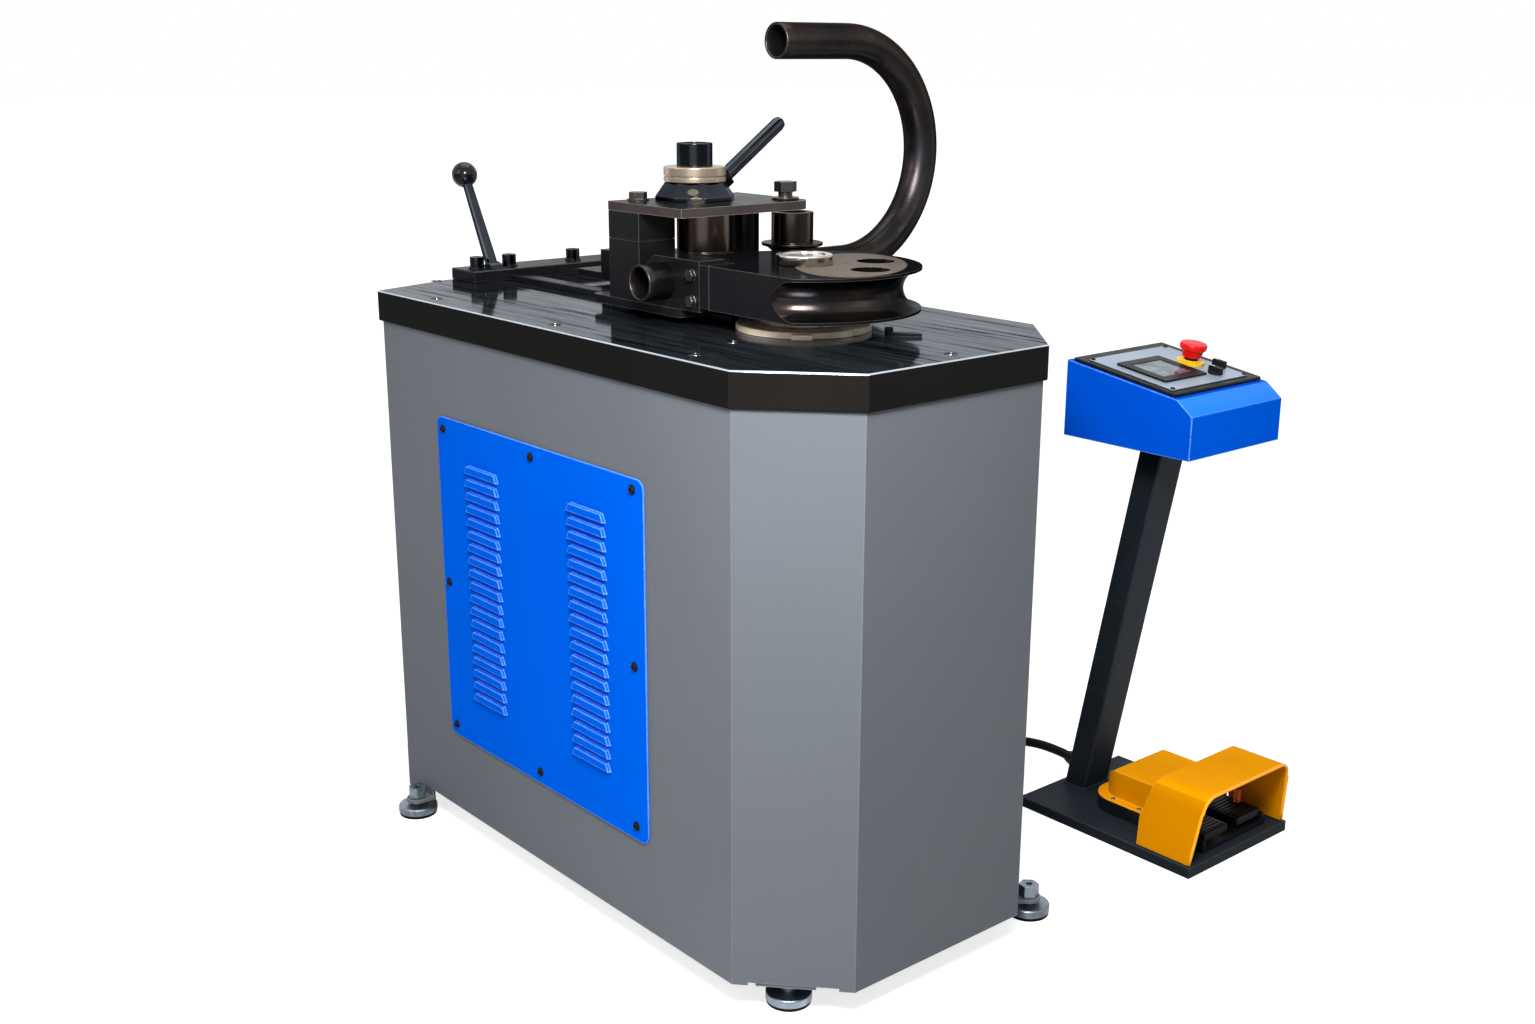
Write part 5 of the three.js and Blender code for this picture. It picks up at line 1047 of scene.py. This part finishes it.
makeWeld()
print("weld laid")


# Floor, background and lights

studio = {
    "floor": "d2d2d2", "floorHalf": 40, "floorRough": 0.9, "world": 0.3,
    "glow": (0.76, 1.0), "glowReach": (2.0, 4.5),
    "lobes": 3, "lobeTurn": 222, "lobeDim": 0.95, "lobeEdge": (0.85, 0.1), "lobeRise": (0.03, 0.12),
    "lamps": {
        "keyLight": {"place": (-1.06, -1.09, 1.66), "aim": (-0.36, -0.38, 0.5), "size": 0.5, "power": 50},
        "sideLight": {"place": (-3.0, 0.6, 2.2), "aim": (0, 0, 0.6), "size": 1.6, "power": 16.5},
        "frontLight": {"place": (1.4, -3.0, 2.0), "aim": (0, 0, 0.6), "size": 1.6, "power": 6.5},
        "topLight": {"place": (0.3, 0.6, 3.6), "aim": (0, 0, 0.6), "size": 2.4, "power": 46},
    },
}


# seen by the camera and in mirrors and glass, but lighting nothing
def seenDirectly(tree):
    path = addNode(tree, "LightPath")
    seen = mathNode(tree, "ADD", path["Is Camera Ray"], path["Is Glossy Ray"], clamp=True)
    return mathNode(tree, "ADD", seen, path["Is Transmission Ray"], clamp=True)


# mirrors see the room by turns bright and dim around the object; 1 is bright
def roomLobes(tree, place, fade):
    turn = addNode(tree, "TexGradient", [place], gradient_type="RADIAL")["Fac"]
    count = studio["lobes"]
    angle = mathNode(tree, "MULTIPLY", turn, 2 * math.pi * count)
    start = math.pi * count + math.radians(studio["lobeTurn"]) * count
    wave = mathNode(tree, "COSINE", mathNode(tree, "SUBTRACT", angle, start))
    dim = remap(tree, wave, *studio["lobeEdge"], 0.0, studio["lobeDim"])
    glossy = addNode(tree, "LightPath")["Is Glossy Ray"]
    share = mathNode(tree, "MULTIPLY", mathNode(tree, "MULTIPLY", dim, glossy), fade)
    return mathNode(tree, "SUBTRACT", 1.0, share)


def makeFloor():
    half = studio["floorHalf"]
    mesh = meshFrom("floor", [(-half, -half, 0), (half, -half, 0), (half, half, 0), (-half, half, 0)],
                    [(0, 1, 2, 3)])
    floor = putInScene("floor", mesh)
    material, tree, shader = blankMaterial("floorPaper")
    place = objectPlace(tree)
    reach = addNode(tree, "VectorMath", [place], operation="LENGTH")["Value"]
    glow = remap(tree, reach, *studio["glowReach"], *studio["glow"])
    seen = mathNode(tree, "MULTIPLY", seenDirectly(tree), roomLobes(tree, place, 1.0))
    feedAll(tree, shader, {
        "Base Color": shade(studio["floor"]), "Roughness": studio["floorRough"], "Specular IOR Level": 0.0,
        "Emission Color": (1, 1, 1, 1), "Emission Strength": mathNode(tree, "MULTIPLY", seen, glow)})
    mesh.materials.append(material)


def makeWorld():
    world = bpy.data.worlds.new("studio")
    bpy.context.scene.world = world
    world.use_nodes = True
    tree = world.node_tree
    light = tree.nodes["Background"]
    place = addNode(tree, "TexCoord")["Generated"]
    low, high = studio["lobeRise"]
    lobes = roomLobes(tree, place, remap(tree, addNode(tree, "SeparateXYZ", [place])["Z"], high, low))
    strength = remap(tree, seenDirectly(tree), 0.0, 1.0, studio["world"], 1.0)
    feedAll(tree, light, {"Color": (1, 1, 1, 1), "Strength": mathNode(tree, "MULTIPLY", strength, lobes)})


def makeStudio():
    makeFloor()
    makeWorld()
    for name, lamp in studio["lamps"].items():
        data = bpy.data.lights.new(name, "AREA")
        data.energy, data.size = lamp["power"], lamp["size"]
        piece = putInScene(name, data)
        piece.location = lamp["place"]
        ahead = Vector(lamp["aim"]) - Vector(lamp["place"])
        piece.rotation_euler = ahead.to_track_quat("-Z", "Y").to_euler()
        piece.visible_camera = False
    bpy.context.scene.view_settings.view_transform = "Standard"


makeStudio()
print("studio lit")
